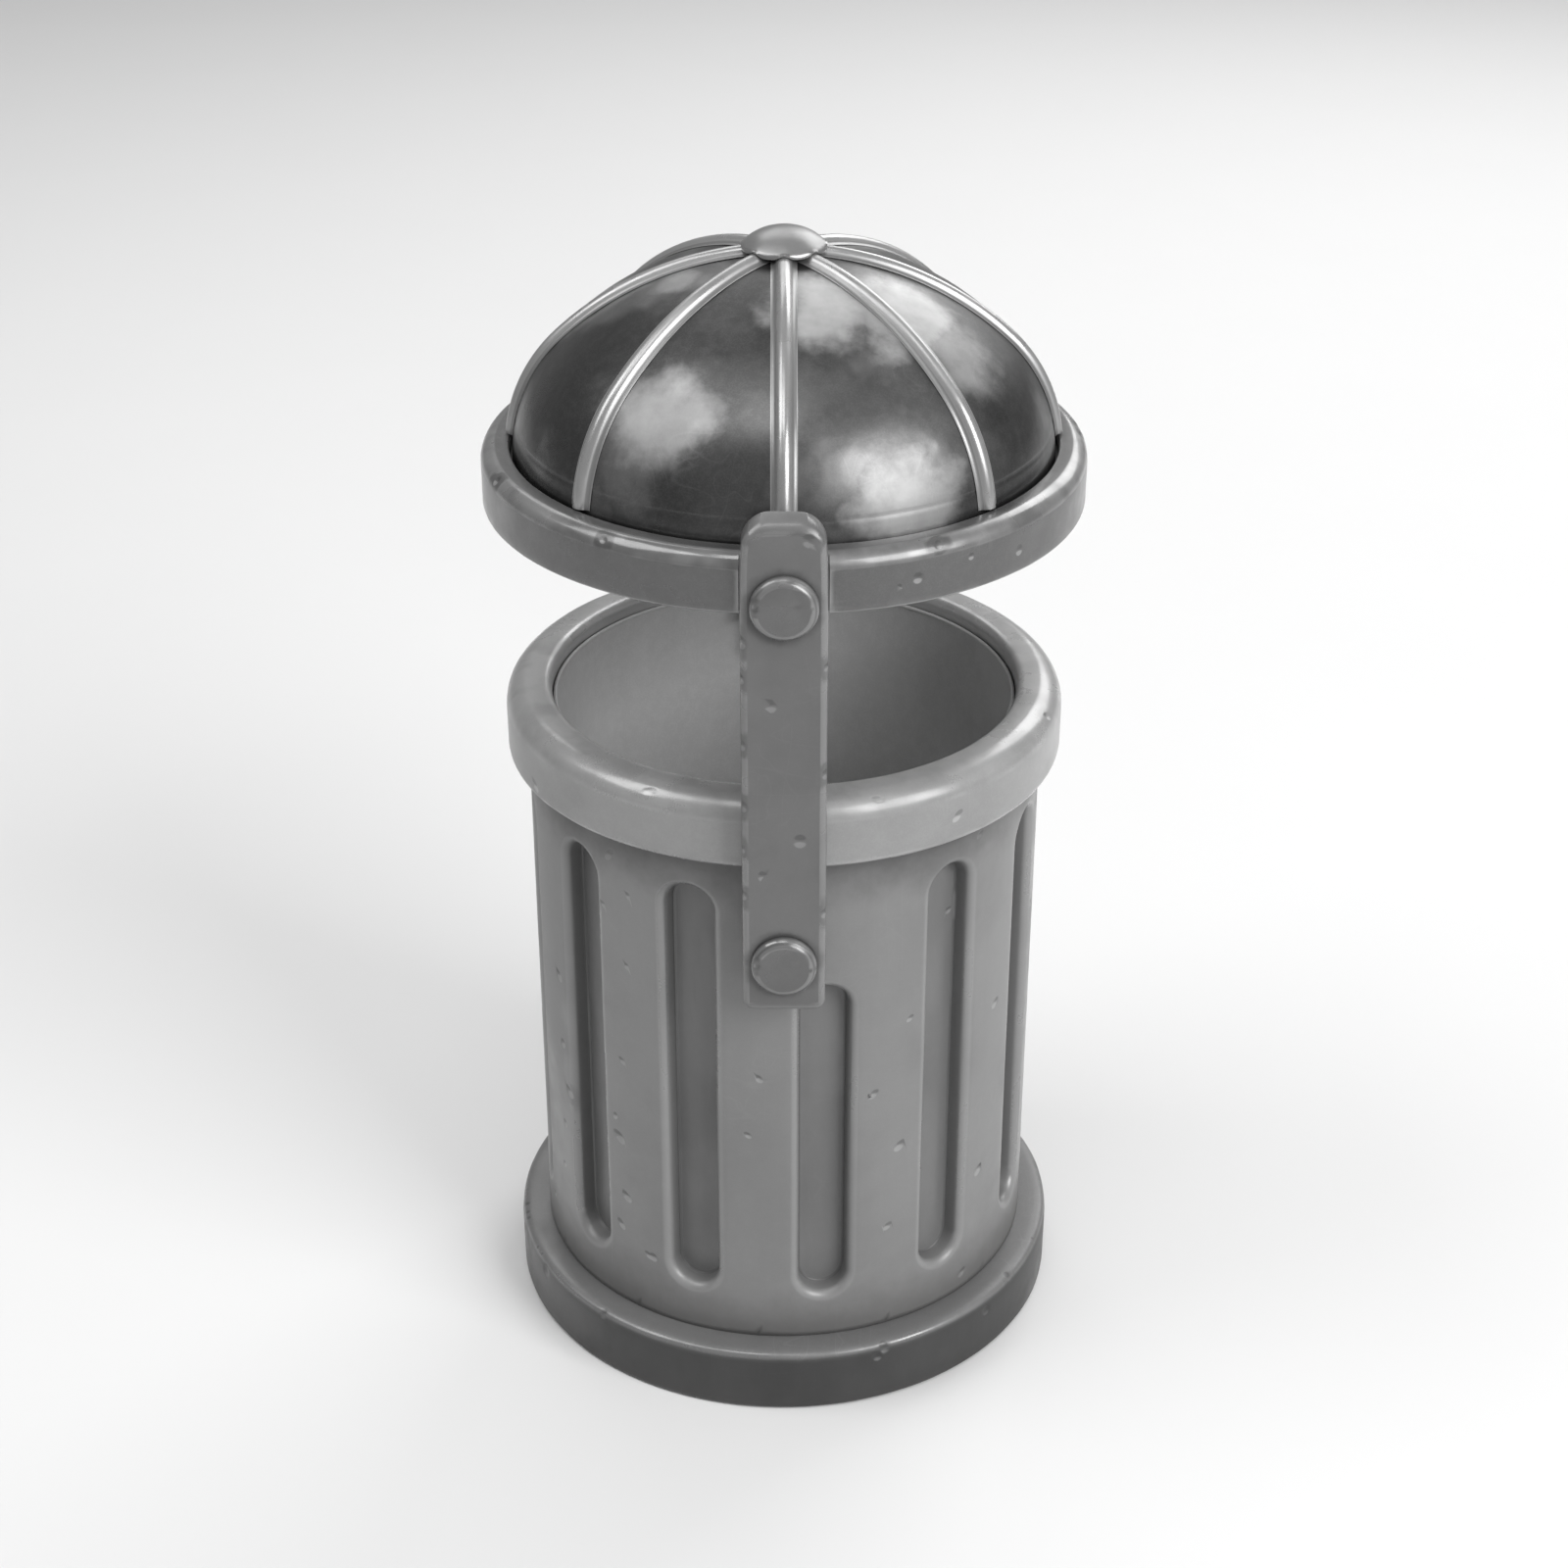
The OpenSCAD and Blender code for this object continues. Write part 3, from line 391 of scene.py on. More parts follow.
@dataclass(frozen=True)
class Finish:
    """Surface of paint, metal or rubber with the wear that it has outdoors, and with painted shade and
    painted light where its shares ask for them.
    """

    name: str
    tone: float
    shade: float
    bright: float
    warmth: float = 0.0
    metallic: float = 0.0
    roughness: float = 0.5
    rough_spread: float = 0.12
    coat: float = 0.0
    coat_roughness: float = 0.25
    cloud_scale: float = 9.0
    cloud_share: float = 0.45
    grain_scale: float = 700.0
    grain_share: float = 0.18
    grain_height: float = 0.00006
    edge_share: float = 0.5
    edge_least: float = 0.35
    streak_share: float = 0.0
    hollow_shading_share: float = 0.0
    hollow_shading_tone: float = 0.0
    hollow_shading_least: float = 0.72
    corner_shade_share: float = 0.55
    eave_shade_share: float = 0.0
    eave_shade_bottom: float = 0.585
    eave_shade_top: float = 0.665
    low_dark_share: float = 0.0
    low_dark_bottom: float = 0.0
    low_dark_top: float = 0.1
    pit_share: float = 0.3
    pit_depth: float = 0.0004
    knock_shading_share: float = 0.5
    scratch_share: float = 0.15
    head_shade_share: float = 0.0
    wave_height: float = 0.0

    def material(self) -> bpy.types.Material:
        """Return the finish's material, made the first time that it is asked for."""
        return bpy.data.materials.get(self.name) or self._make()

    def _surface(self, w: Wiring) -> dict[str, Socket]:
        """Wire the colour, the roughness and the height in metres from the shared effects.

        Args:
            w: The material's wiring.

        Returns:
            The three, by name.
        """
        tone, shade, bright = (grey(v, self.warmth) for v in (self.tone, self.shade, self.bright))
        # Dark tone of the painted shade: in corners, round the bolt heads, under the collar and on the upper
        # side of knocks
        shadow_tone = grey(self.shade * 0.4, self.warmth)
        cloud = w.mask(cloudy_patches, Scale=self.cloud_scale, Low=0.36, High=0.66)
        grain = w.group(fine_grain, Scale=self.grain_scale)
        edge = w.mask(edge_wear_and_sheen, Least=self.edge_least)
        low_dark = w.mask(height_fade, Bottom=self.low_dark_bottom, Top=self.low_dark_top)
        pits, knock_shading = w.group(scattered_pits), w.group(knock_light_and_shade)
        colour = w.blend(w.times(cloud, self.cloud_share), tone, shade)
        for mask, share, towards in (
            (grain["Mask"], self.grain_share, bright),
            (w.mask(upright_streaks), self.streak_share, shade),
            (w.mask(fine_scratches), self.scratch_share, bright),
            # edge wear, with a painted sheen along the band's top edge and the shell's lips
            (edge, self.edge_share, bright),
            (pits["Mask"], self.pit_share, shade),
            # painted highlight on each knock's lower side, painted shade on its upper side
            (knock_shading["Lit"], self.knock_shading_share, bright),
            (knock_shading["Shaded"], self.knock_shading_share, shadow_tone),
            # painted tone of hollows: shade in the flutes and on the base's wall, light in the collar's bore
            (w.mask(hollow_shading, Least=self.hollow_shading_least), self.hollow_shading_share,
             grey(self.hollow_shading_tone or self.shade * 0.5, self.warmth)),
            # painted shadow round the bolt heads
            (w.mask(shade_round_heads), self.head_shade_share, shadow_tone),
            # painted shade under the collar, darkest just below it
            (w.mask(height_fade, Bottom=self.eave_shade_top, Top=self.eave_shade_bottom), self.eave_shade_share, shadow_tone),
            # painted shade in inner corners
            (w.mask(shade_in_corners), self.corner_shade_share, shadow_tone),
            # painted shade low on the base and the shell; on the floor sheet, darker towards the bottom
            (low_dark, self.low_dark_share, grey(self.shade * 0.55, self.warmth + 0.02)),
        ):
            if share > 0.0:
                colour = w.blend(w.times(mask, share), colour, towards)
        low, high = self.roughness - self.rough_spread, self.roughness + self.rough_spread
        rough = w.plus(w.ease(cloud, 0.0, 1.0, low, high), w.times(grain["Mask"], 0.3 * self.grain_share))
        rough = w.less(rough, w.times(edge, 0.10), clamp=True)
        rough = w.plus(rough, w.times(low_dark, 0.2 * self.low_dark_share), clamp=True)
        height = w.times(grain["Height"], self.grain_height)
        height = w.plus(height, w.times(pits["Height"], self.pit_depth * self.pit_share))
        if self.wave_height > 0.0:
            height = w.plus(height, w.times(w.noise(w.place(), 22.0, 3.0, 0.5), self.wave_height))
        return {"colour": colour, "roughness": rough, "height": height}

    def _make(self) -> bpy.types.Material:
        """Build the material.

        Returns:
            The material.
        """
        made = bpy.data.materials.new(self.name)
        made.use_nodes = True
        made.node_tree.nodes.clear()
        w = Wiring(made.node_tree)
        surface = self._surface(w)
        bump = w.node("ShaderNodeBump", {"Strength": 1.0, "Distance": 1.0, "Height": surface["height"]})
        shader = w.node("ShaderNodeBsdfPrincipled", {
            "Base Color": surface["colour"], "Roughness": surface["roughness"], "Metallic": self.metallic,
            "Coat Weight": self.coat, "Coat Roughness": self.coat_roughness, "Normal": bump.outputs[0],
        })
        w.node("ShaderNodeOutputMaterial", {"Surface": shader.outputs[0]})
        return made


@dataclass(frozen=True)
class Patch:
    """Pale patch of painted reflection on the dome, round about a point."""

    place: tuple[float, float, float]
    radius: float
    share: float


@dataclass(frozen=True)
class SheenPaintedMetal(Finish):
    """Dark polished sheet with painted reflections: pale patches over a dark ground."""

    patch_scale: float = 6.5
    patch_share: float = 0.18
    patch_dull: float = 0.3
    patches: tuple[Patch, ...] = ()

    def _sheen_mask(self, w: Wiring) -> Socket:
        """Return the mask of the painted reflections at the given places, with ragged cloudy rims.

        Args:
            w: The material's wiring.

        Returns:
            The mask.
        """
        place = w.place()
        ragged = w.less(w.noise(place, 17.0, 5.0, 0.58), 0.5)
        strongest: Value = 0.0
        for patch in self.patches:
            off = w.plus(w.apart(place, patch.place), w.times(ragged, 1.9 * patch.radius))
            mask = w.ease(off, 0.45 * patch.radius, 1.3 * patch.radius, patch.share, 0.0)
            strongest = w.math("MAXIMUM", strongest, mask)
        return strongest

    def _surface(self, w: Wiring) -> dict[str, Socket]:
        """Lay painted reflections of two kinds, as dull pale patches, over the plain surface.

        Args:
            w: The material's wiring.

        Returns:
            The colour, the roughness and the height, by name.
        """
        surface = super()._surface(w)
        sheen = self._sheen_mask(w)
        faint = w.times(w.mask(cloudy_patches, Scale=self.patch_scale, Low=0.5, High=0.66), self.patch_share)
        small = w.mask(cloudy_patches, Scale=3.4 * self.patch_scale, Low=0.35, High=0.7)
        # pale: the painted reflection, placed patches and faint cloudy ones
        pale = w.times(w.math("MAXIMUM", faint, sheen), w.plus(w.times(small, 0.25), 0.75))
        surface["colour"] = w.blend(pale, surface["colour"], grey(self.bright, self.warmth))
        surface["roughness"] = w.plus(surface["roughness"], w.times(sheen, self.patch_dull), clamp=True)
        return surface


# Painted shade on the upright wall and low down
BASE_IRON = Finish(
    "cast iron of the base", tone=0.195, shade=0.12, bright=0.32, metallic=0.3, roughness=0.44, coat=0.25,
    cloud_scale=6.0, cloud_share=0.3, grain_share=0.08, grain_scale=520.0, grain_height=0.00004,
    edge_share=0.15, hollow_shading_share=0.9, hollow_shading_tone=0.03, hollow_shading_least=0.93, low_dark_share=0.4, low_dark_top=0.05,
    pit_share=0.12, wave_height=0.0003,
)
# Painted shade in the flutes, in corners, under the collar and low down; painted sheen on the lips
SHELL_PAINT = Finish(
    "worn paint of the shell", tone=0.265, shade=0.225, bright=0.44, metallic=0.2, roughness=0.46, coat=0.2,
    cloud_scale=6.0, grain_share=0.05, grain_height=0.00002, edge_share=0.28, edge_least=0.95,
    streak_share=0.12, hollow_shading_share=0.5, corner_shade_share=0.7, low_dark_share=0.65, low_dark_bottom=0.07,
    low_dark_top=0.15, eave_shade_share=0.95, pit_share=0.15, scratch_share=0.06, wave_height=0.0003,
)
# Painted light on the top and in the bore
COLLAR_PAINT = Finish(
    "worn paint of the collar", tone=0.335, shade=0.285, bright=0.6, metallic=0.2, roughness=0.4, coat=0.35,
    coat_roughness=0.16, cloud_scale=6.0, grain_share=0.08, grain_scale=560.0, grain_height=0.00003,
    edge_share=0.4, pit_share=0.12, scratch_share=0.06, wave_height=0.0003, hollow_shading_share=0.9, hollow_shading_tone=0.5,
)
LINER_PAINT = Finish(
    "painted sheet of the liner", tone=0.54, shade=0.47, bright=0.64, roughness=0.62, grain_share=0.4,
    grain_scale=520.0, grain_height=0.00005, edge_share=0.0, streak_share=0.1, corner_shade_share=0.0,
)
# Painted shadow round the bolt heads
ARM_METAL = Finish(
    "brushed cast metal of the arms", tone=0.168, shade=0.145, bright=0.36, metallic=0.35, roughness=0.42,
    coat=0.2, cloud_share=0.35, grain_share=0.03, grain_height=0.00002, edge_share=0.4, edge_least=0.7,
    streak_share=0.06, pit_share=0.1, scratch_share=0.05, wave_height=0.0003, head_shade_share=0.5,
)
HEAD_METAL = Finish(
    "cast metal of the bolt heads", tone=0.143, shade=0.125, bright=0.38, metallic=0.4, roughness=0.33,
    coat=0.4, coat_roughness=0.2, cloud_scale=16.0, grain_share=0.03, grain_height=0.00001, edge_share=0.4,
    edge_least=0.8, pit_share=0.06, scratch_share=0.05, wave_height=0.0002,
)
# Edge mask kept nearly whole for a painted sheen along the top edge
BAND_METAL = Finish(
    "cast metal of the hood band", tone=0.118, shade=0.10, bright=0.5, metallic=0.4, roughness=0.34,
    coat=0.5, coat_roughness=0.12, cloud_scale=7.0, cloud_share=0.35, grain_share=0.04,
    grain_height=0.00002, edge_least=0.7, pit_share=0.1, scratch_share=0.06, wave_height=0.0003,
)
# The dome takes painted reflections at the places that Dome lists
DOME_METAL = SheenPaintedMetal(
    "dome sheet with painted sheen", tone=0.07, shade=0.052, bright=0.8, metallic=0.85, roughness=0.34,
    cloud_scale=5.0, grain_share=0.03, grain_height=0.00001, edge_share=0.2, corner_shade_share=0.3,
    pit_share=0.05, knock_shading_share=0.0, scratch_share=0.03, rough_spread=0.07, wave_height=0.0007,
)
RIB_METAL = Finish(
    "satin metal of the ribs", tone=0.42, shade=0.32, bright=0.62, metallic=0.65, roughness=0.38,
    rough_spread=0.05, cloud_scale=10.0, cloud_share=0.3, grain_share=0.04, edge_share=0.0,
    grain_height=0.0, corner_shade_share=0.5, pit_share=0.0, scratch_share=0.04,
)
CAP_METAL = replace(
    RIB_METAL, name="satin metal of the cap", tone=0.30, shade=0.22, bright=0.5, roughness=0.33,
)
ZINC = Finish(
    "zinc-plated steel", tone=0.42, shade=0.3, bright=0.6, warmth=0.01, metallic=0.9, roughness=0.42,
    cloud_scale=60.0, cloud_share=0.7, grain_share=0.2, grain_height=0.00003,
)
BRIGHT_ROD = Finish(
    "bright rod of the handles", tone=0.55, shade=0.4, bright=0.75, metallic=1.0, roughness=0.28,
    cloud_scale=40.0, scratch_share=0.3, grain_height=0.00002,
)
FLOOR_STEEL = Finish(
    "galvanised floor sheet", tone=0.36, shade=0.24, bright=0.5, warmth=0.01, metallic=0.8,
    cloud_scale=40.0, cloud_share=0.8, low_dark_share=0.5, low_dark_top=0.03,
)
RUBBER = Finish(
    "black rubber", tone=0.03, shade=0.02, bright=0.07, roughness=0.75, grain_share=0.4,
    grain_scale=400.0, grain_height=0.00012, pit_share=0.0, scratch_share=0.3,
)
BRONZE = Finish(
    "bronze of the bushes", tone=0.36, shade=0.26, bright=0.5, warmth=0.35, metallic=1.0, roughness=0.38,
    cloud_scale=50.0, scratch_share=0.3, grain_height=0.00002,
)


# Mesh tools


def unit(value: float) -> float:
    """Return a value held between 0 and 1."""
    return min(1.0, max(0.0, value))


def of_kind(geom: Iterable[object], kind: type) -> list:
    """Return what is of one kind in an operator's result."""
    return [part for part in geom if isinstance(part, kind)]


def bend(bm: Mesh, geom: list, centre: Sequence[float], angle: float, steps: int) -> list:
    """Sweep geometry about a centre by degrees from +X towards +Z and return the last of it."""
    way = {"cent": centre, "axis": (0.0, -1.0, 0.0), "angle": radians(angle)}
    return bmesh.ops.spin(bm, geom=geom, steps=steps, **way)["geom_last"]


class Profile:
    """Line in the X-Z plane that grows from its tip by operators and is then turned about Z."""

    def __init__(self, x: float, z: float) -> None:
        """Start the line at a distance from the axis and a height."""
        self.bm = bmesh.new()
        self.first = self.tip = bmesh.ops.create_vert(self.bm, co=(x, 0.0, z))["vert"][0]

    def line(self, x: float, z: float, parts: int = 1) -> "Profile":
        """Grow straight to a point in equal parts.

        Args:
            x: Distance of the point from the axis.
            z: Height of the point.
            parts: Number of parts.

        Returns:
            The profile itself.
        """
        start, end = self.tip.co.copy(), Vector((x, 0.0, z))
        for k in range(1, parts + 1):
            self.tip = bmesh.ops.extrude_vert_indiv(self.bm, verts=[self.tip])["verts"][0]
            self.tip.co = start.lerp(end, k / parts)
        return self

    def arc(self, x: float, z: float, angle: float, steps: int) -> "Profile":
        """Grow by an angle about the centre (x, z) and return the profile."""
        self.tip = of_kind(bend(self.bm, [self.tip], (x, 0.0, z), angle, steps), Vert)[0]
        return self

    def corner(
        self, x: float, z: float, r: float, steps: int, parts: int = 1, turn: float = 90.0,
    ) -> "Profile":
        """Grow level or upright towards the corner (x, z) and round it.

        Args:
            x: Distance of the corner from the axis.
            z: Height of the corner.
            r: Radius of its rounding.
            steps: Number of straight parts of the rounding.
            parts: Number of equal parts of the line before it.
            turn: 90 to the left or -90 to the right.

        Returns:
            The profile itself.
        """
        dx, dz = x - self.tip.co.x, z - self.tip.co.z
        if abs(dx) > abs(dz):
            x -= copysign(r, dx)
            return self.line(x, z, parts).arc(x, z + copysign(r, dx * turn), turn, steps)
        z -= copysign(r, dz)
        return self.line(x, z, parts).arc(x - copysign(r, dz * turn), z, turn, steps)

    def close(self) -> "Profile":
        """Join the tip to the start and return the profile."""
        self.bm.edges.new((self.tip, self.first))
        return self

    def turned(self, steps: int) -> Mesh:
        """Turn the line once about Z in equal steps.

        Args:
            steps: Number of steps.

        Returns:
            The mesh.
        """
        bmesh.ops.spin(
            self.bm, geom=self.bm.verts[:] + self.bm.edges[:], cent=(0.0, 0.0, 0.0), axis=(0.0, 0.0, 1.0),
            angle=2.0 * pi, steps=steps, use_merge=True,
        )
        bmesh.ops.remove_doubles(self.bm, verts=self.bm.verts[:], dist=TINY)
        bmesh.ops.dissolve_degenerate(self.bm, dist=0.1 * TINY, edges=self.bm.edges[:])
        bmesh.ops.recalc_face_normals(self.bm, faces=self.bm.faces[:])
        return self.bm


def quarter_round(r: float, parts: int) -> list[tuple[float, float]]:
    """Return the steps, along and down, of a quarter round that starts level."""
    angles = [radians(90.0 * k / parts) for k in range(parts + 1)]
    return [(r * (sin(b) - sin(a)), r * (cos(a) - cos(b))) for a, b in zip(angles, angles[1:])]


def turned_by(angle: float, axis: str = "Z") -> Matrix:
    """Return the turn by an angle in degrees, about Z the one that takes the front to an azimuth."""
    return Matrix.Rotation(radians(angle), 4, axis)


def on_wall(azimuth: float, z: float, r: float) -> Vector:
    """Return the point at an azimuth and a height on an upright round wall."""
    return Vector((r * sin(radians(azimuth)), -r * cos(radians(azimuth)), z))


@dataclass(frozen=True)
class Dent:
    """Small knock in a surface, as a round hollow or a long slanted chip."""

    place: Vector
    radius: float
    depth: float
    stretch: float = 1.0
    slant: float = 0.0

    @property
    def reach(self) -> float:
        """Half the knock's length."""
        return self.radius * self.stretch

    def share(self, point: Vector) -> float:
        """Return how far out a point lies, where 1 is the knock's half width or length.

        Args:
            point: The point.

        Returns:
            The share of the knock's size.
        """
        across = Vector((0.0, 0.0, 1.0)).cross(Vector((self.place.x, self.place.y, 0.0)).normalized())
        a = radians(self.slant)
        off = point - self.place
        along = off.dot(Vector((0.0, 0.0, cos(a))) + across * sin(a))
        wide = max(0.0, off.length_squared - along * along)
        return sqrt(wide + (along / self.stretch) ** 2) / self.radius


def wall_dents(rows: Iterable[Sequence[float]]) -> list[Dent]:
    """Return dents from rows of azimuth, then height, wall's radius, size and depth in millimetres."""
    return [
        Dent(on_wall(a, z * MM, r * MM), size * MM, depth * MM, *rest) for a, z, r, size, depth, *rest in rows
    ]


def scattered_dents(
    count: int, seed: int, r: float, low: float, high: float, size: float,
    keep_out: Sequence[tuple[float, float]] = ((-70.0, 70.0),),
) -> list[Dent]:
    """Scatter small knocks over an upright round wall.

    Args:
        count: Number of knocks.
        seed: Seed of the scatter.
        r: Radius of the wall.
        low: Lowest height.
        high: Greatest height.
        size: Middle radius of a knock.
        keep_out: Ranges of azimuth that take none.

    Returns:
        The dents.
    """
    chance = random.Random(seed)
    found: list[Dent] = []
    while len(found) < count:
        azimuth = chance.uniform(-180.0, 180.0)
        if any(a < azimuth < b for a, b in keep_out):
            continue
        radius = size * chance.uniform(0.5, 0.9)
        place = on_wall(azimuth, chance.uniform(low, high), r)
        depth, slant = radius * chance.uniform(0.2, 0.4), chance.uniform(-60.0, 60.0)
        found.append(Dent(place, radius, depth, chance.uniform(1.0, 1.9), slant))
    return found


def place_tree(verts: Sequence[Vert]) -> kdtree.KDTree:
    """Return a tree that finds vertices by place and gives them back by their number here.

    Args:
        verts: The vertices.

    Returns:
        The balanced tree.
    """
    tree = kdtree.KDTree(len(verts))
    for index, vert in enumerate(verts):
        tree.insert(vert.co, index)
    tree.balance()
    return tree


def long_edges(bm: Mesh, dents: Sequence[Dent], longest: float) -> list[Edge]:
    """Return the edges near the dents that are too long to take their shape.

    Args:
        bm: The mesh.
        dents: The dents.
        longest: Longest edge of the mesh before it is refined.

    Returns:
        The edges, in the mesh's own order.
    """
    verts = list(bm.verts)
    tree = place_tree(verts)
    found: set[Edge] = set()
    for dent in dents:
        found_near = tree.find_range(dent.place, dent.reach * REFINED_TO + longest)
        near = [verts[index] for _, index, _ in found_near]
        for edge in {edge for vert in near for face in vert.link_faces for edge in face.edges}:
            a, b = edge.verts
            nearest = a.co.lerp(b.co, unit(geometry.intersect_point_line(dent.place, a.co, b.co)[1]))
            if edge.calc_length() > dent.radius * SPLIT_ABOVE and dent.share(nearest) < REFINED_TO:
                found.add(edge)
    return [edge for edge in bm.edges if edge in found]


def press_dents(bm: Mesh, dents: Sequence[Dent], longest: float) -> None:
    """Press dents into a mesh, which is first made finer round each.

    Args:
        bm: The mesh.
        dents: The dents.
        longest: Longest edge of the mesh.
    """
    knocked, lit_side = (bm.verts.layers.float.new(name) for name in ("knock", "chip"))
    for _ in range(5):
        edges = long_edges(bm, dents, longest)
        if not edges:
            break
        bmesh.ops.subdivide_edges(bm, edges=edges, cuts=1, use_grid_fill=True)
    bm.normal_update()
    verts = list(bm.verts)
    tree = place_tree(verts)
    for dent in dents:
        for place, index, _ in tree.find_range(dent.place, dent.reach * MARKED_TO):
            vert, share = verts[index], dent.share(place)
            fall = max(0.0, 1.0 - (share / DENT_END) ** 2) ** 1.5
            vert[knocked] = max(vert[knocked], unit(2.0 * (MARKED_TO - share)))
            # Signed share for the painted light below a knock's middle and the painted shade above it
            vert[lit_side] += 2.0 * fall * (dent.place.z - place.z) / dent.radius
            vert.co -= vert.normal * dent.depth * fall


def make_uneven(bm: Mesh, amount: float, wave: float, seed: float) -> None:
    """Sink the surface a little and unevenly, as on a casting; it never grows.

    Args:
        bm: The mesh.
        amount: Deepest sinking in metres.
        wave: Length of a wave in metres.
        seed: Where the pattern starts.
    """
    bm.normal_update()
    start = Vector((seed, 1.7 * seed, -seed))
    for vert in bm.verts:
        high = noise.noise(vert.co / wave + start) + 0.5 * noise.noise(vert.co * (2.7 / wave) - start)
        vert.co -= vert.normal * amount * (0.5 + 0.33 * high)


def mark_bends(bm: Mesh, radius: float) -> None:
    """Write how sharply the surface bends at each vertex: outwards for edge wear and painted sheen, inwards
    for painted shade in corners.

    Knocks are left out of both.

    Args:
        bm: The mesh.
        radius: Rounding at which the mark is full.
    """
    layers = [bm.verts.layers.float.new(name) for name in ("edge", "crease")]
    knocked = bm.verts.layers.float.get("knock")
    bends: dict[Vert, tuple[float, float]] = {}
    for vert in bm.verts:
        found = [0.0]
        for edge in vert.link_edges:
            if len(edge.link_faces) == 2:
                a, b = (face.calc_center_median() for face in edge.link_faces)
                found.append(edge.calc_face_angle_signed(0.0) / max((a - b).length, 0.0005))
        bends[vert] = (min(1.0, max(found) * radius), min(1.0, -min(found) * radius))
    for vert in bm.verts:
        around = [bends[edge.other_vert(vert)] for edge in vert.link_edges]
        kept = 1.0 - vert[knocked] if knocked else 1.0
        for way, layer in enumerate(layers):
            mean = sum(bend[way] for bend in around) / len(around) if around else 0.0
            vert[layer] = 0.5 * kept * (bends[vert][way] + mean)


def mark_hollow_shading(bm: Mesh, depth: Callable[[Vert], float]) -> None:
    """Write the share by which each vertex takes the painted tone of hollows, which the finish's tone makes
    shade or light.

    Args:
        bm: The mesh.
        depth: What gives a vertex's share, which is then held between 0 and 1.
    """
    hollow = bm.verts.layers.float.new("hollow")
    for vert in bm.verts:
        vert[hollow] = unit(depth(vert))


def round_edges(bm: Mesh, edges: Sequence[Edge], size: float, parts: int, clamp: bool = False) -> None:
    """Round edges of a mesh.

    Args:
        bm: The mesh.
        edges: The edges.
        size: Width that the rounding takes on each side.
        parts: Number of its parts.
        clamp: Whether it stops where roundings would overlap.
    """
    bmesh.ops.bevel(
        bm, geom=edges, offset=size, offset_type="OFFSET", segments=parts, profile=0.5, affect="EDGES",
        material=-1, clamp_overlap=clamp,
    )


def shape_to_object(bm: Mesh, name: str, smooth_angle: float = 38.0) -> Piece:
    """Turn a bmesh into an object that stands at the origin.

    Args:
        bm: The mesh, which is freed.
        name: Name of the object.
        smooth_angle: Edges bent by more than this stay sharp, in degrees.

    Returns:
        The object.
    """
    mesh = bpy.data.meshes.new(name)
    bm.to_mesh(mesh)
    bm.free()
    mesh.shade_smooth()
    mesh.set_sharp_from_angle(angle=radians(smooth_angle))
    obj = bpy.data.objects.new(name, mesh)
    bpy.context.scene.collection.objects.link(obj)
    return obj


def carved(bm: Mesh, tools: Sequence[tuple[Work, Mesh]]) -> Mesh:
    """Cut or join solids with the Boolean modifier.

    Args:
        bm: The solid to work on, which is freed.
        tools: Pairs of a way of working and a closed solid, which is freed.

    Returns:
        The result.
    """
    obj = shape_to_object(bm, "blank")
    helpers = [shape_to_object(tool, f"tool_{index}") for index, (_, tool) in enumerate(tools)]
    for (work, _), helper in zip(tools, helpers):
        modifier = obj.modifiers.new("worked", "BOOLEAN")
        modifier.operation, modifier.object, modifier.solver = work.value, helper, "EXACT"
    result = bmesh.new()
    result.from_object(obj, bpy.context.evaluated_depsgraph_get())
    for used in [obj, *helpers]:
        mesh = used.data
        bpy.data.objects.remove(used)
        bpy.data.meshes.remove(mesh)
    bmesh.ops.remove_doubles(result, verts=result.verts[:], dist=2.0 * TINY)
    return result


def block(low: Sequence[float], high: Sequence[float]) -> Mesh:
    """Build a plain box.

    Args:
        low: The lowest corner.
        high: The highest corner.

    Returns:
        The box.
    """
    bm = bmesh.new()
    a, b = Vector(low), Vector(high)
    size = Matrix.Diagonal((*(b - a), 1.0))
    bmesh.ops.create_cube(bm, size=1.0, matrix=Matrix.Translation((a + b) / 2.0) @ size)
    return bm


def thicken(obj: Piece, wall: float) -> Piece:
    """Give a surface the thickness of its sheet inwards.

    Args:
        obj: The surface.
        wall: The thickness.

    Returns:
        The same object.
    """
    sheet = obj.modifiers.new("sheet", "SOLIDIFY")
    sheet.thickness, sheet.offset = wall, -1.0
    return obj


def dress(obj: Piece, finish: Finish, body: Body, node: str) -> None:
    """Give a new piece its finish, its body and the CAD node that it stands for.

    Args:
        obj: The piece.
        finish: Its finish.
        body: The body that it rides on.
        node: The CAD node that it replaces.
    """
    obj.data.materials.append(finish.material())
    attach(obj, body.value)
    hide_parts(node)
    LOG.info("%s: %d faces, rides on %s", obj.name, len(obj.data.polygons), body.value)


# Sub-assemblies


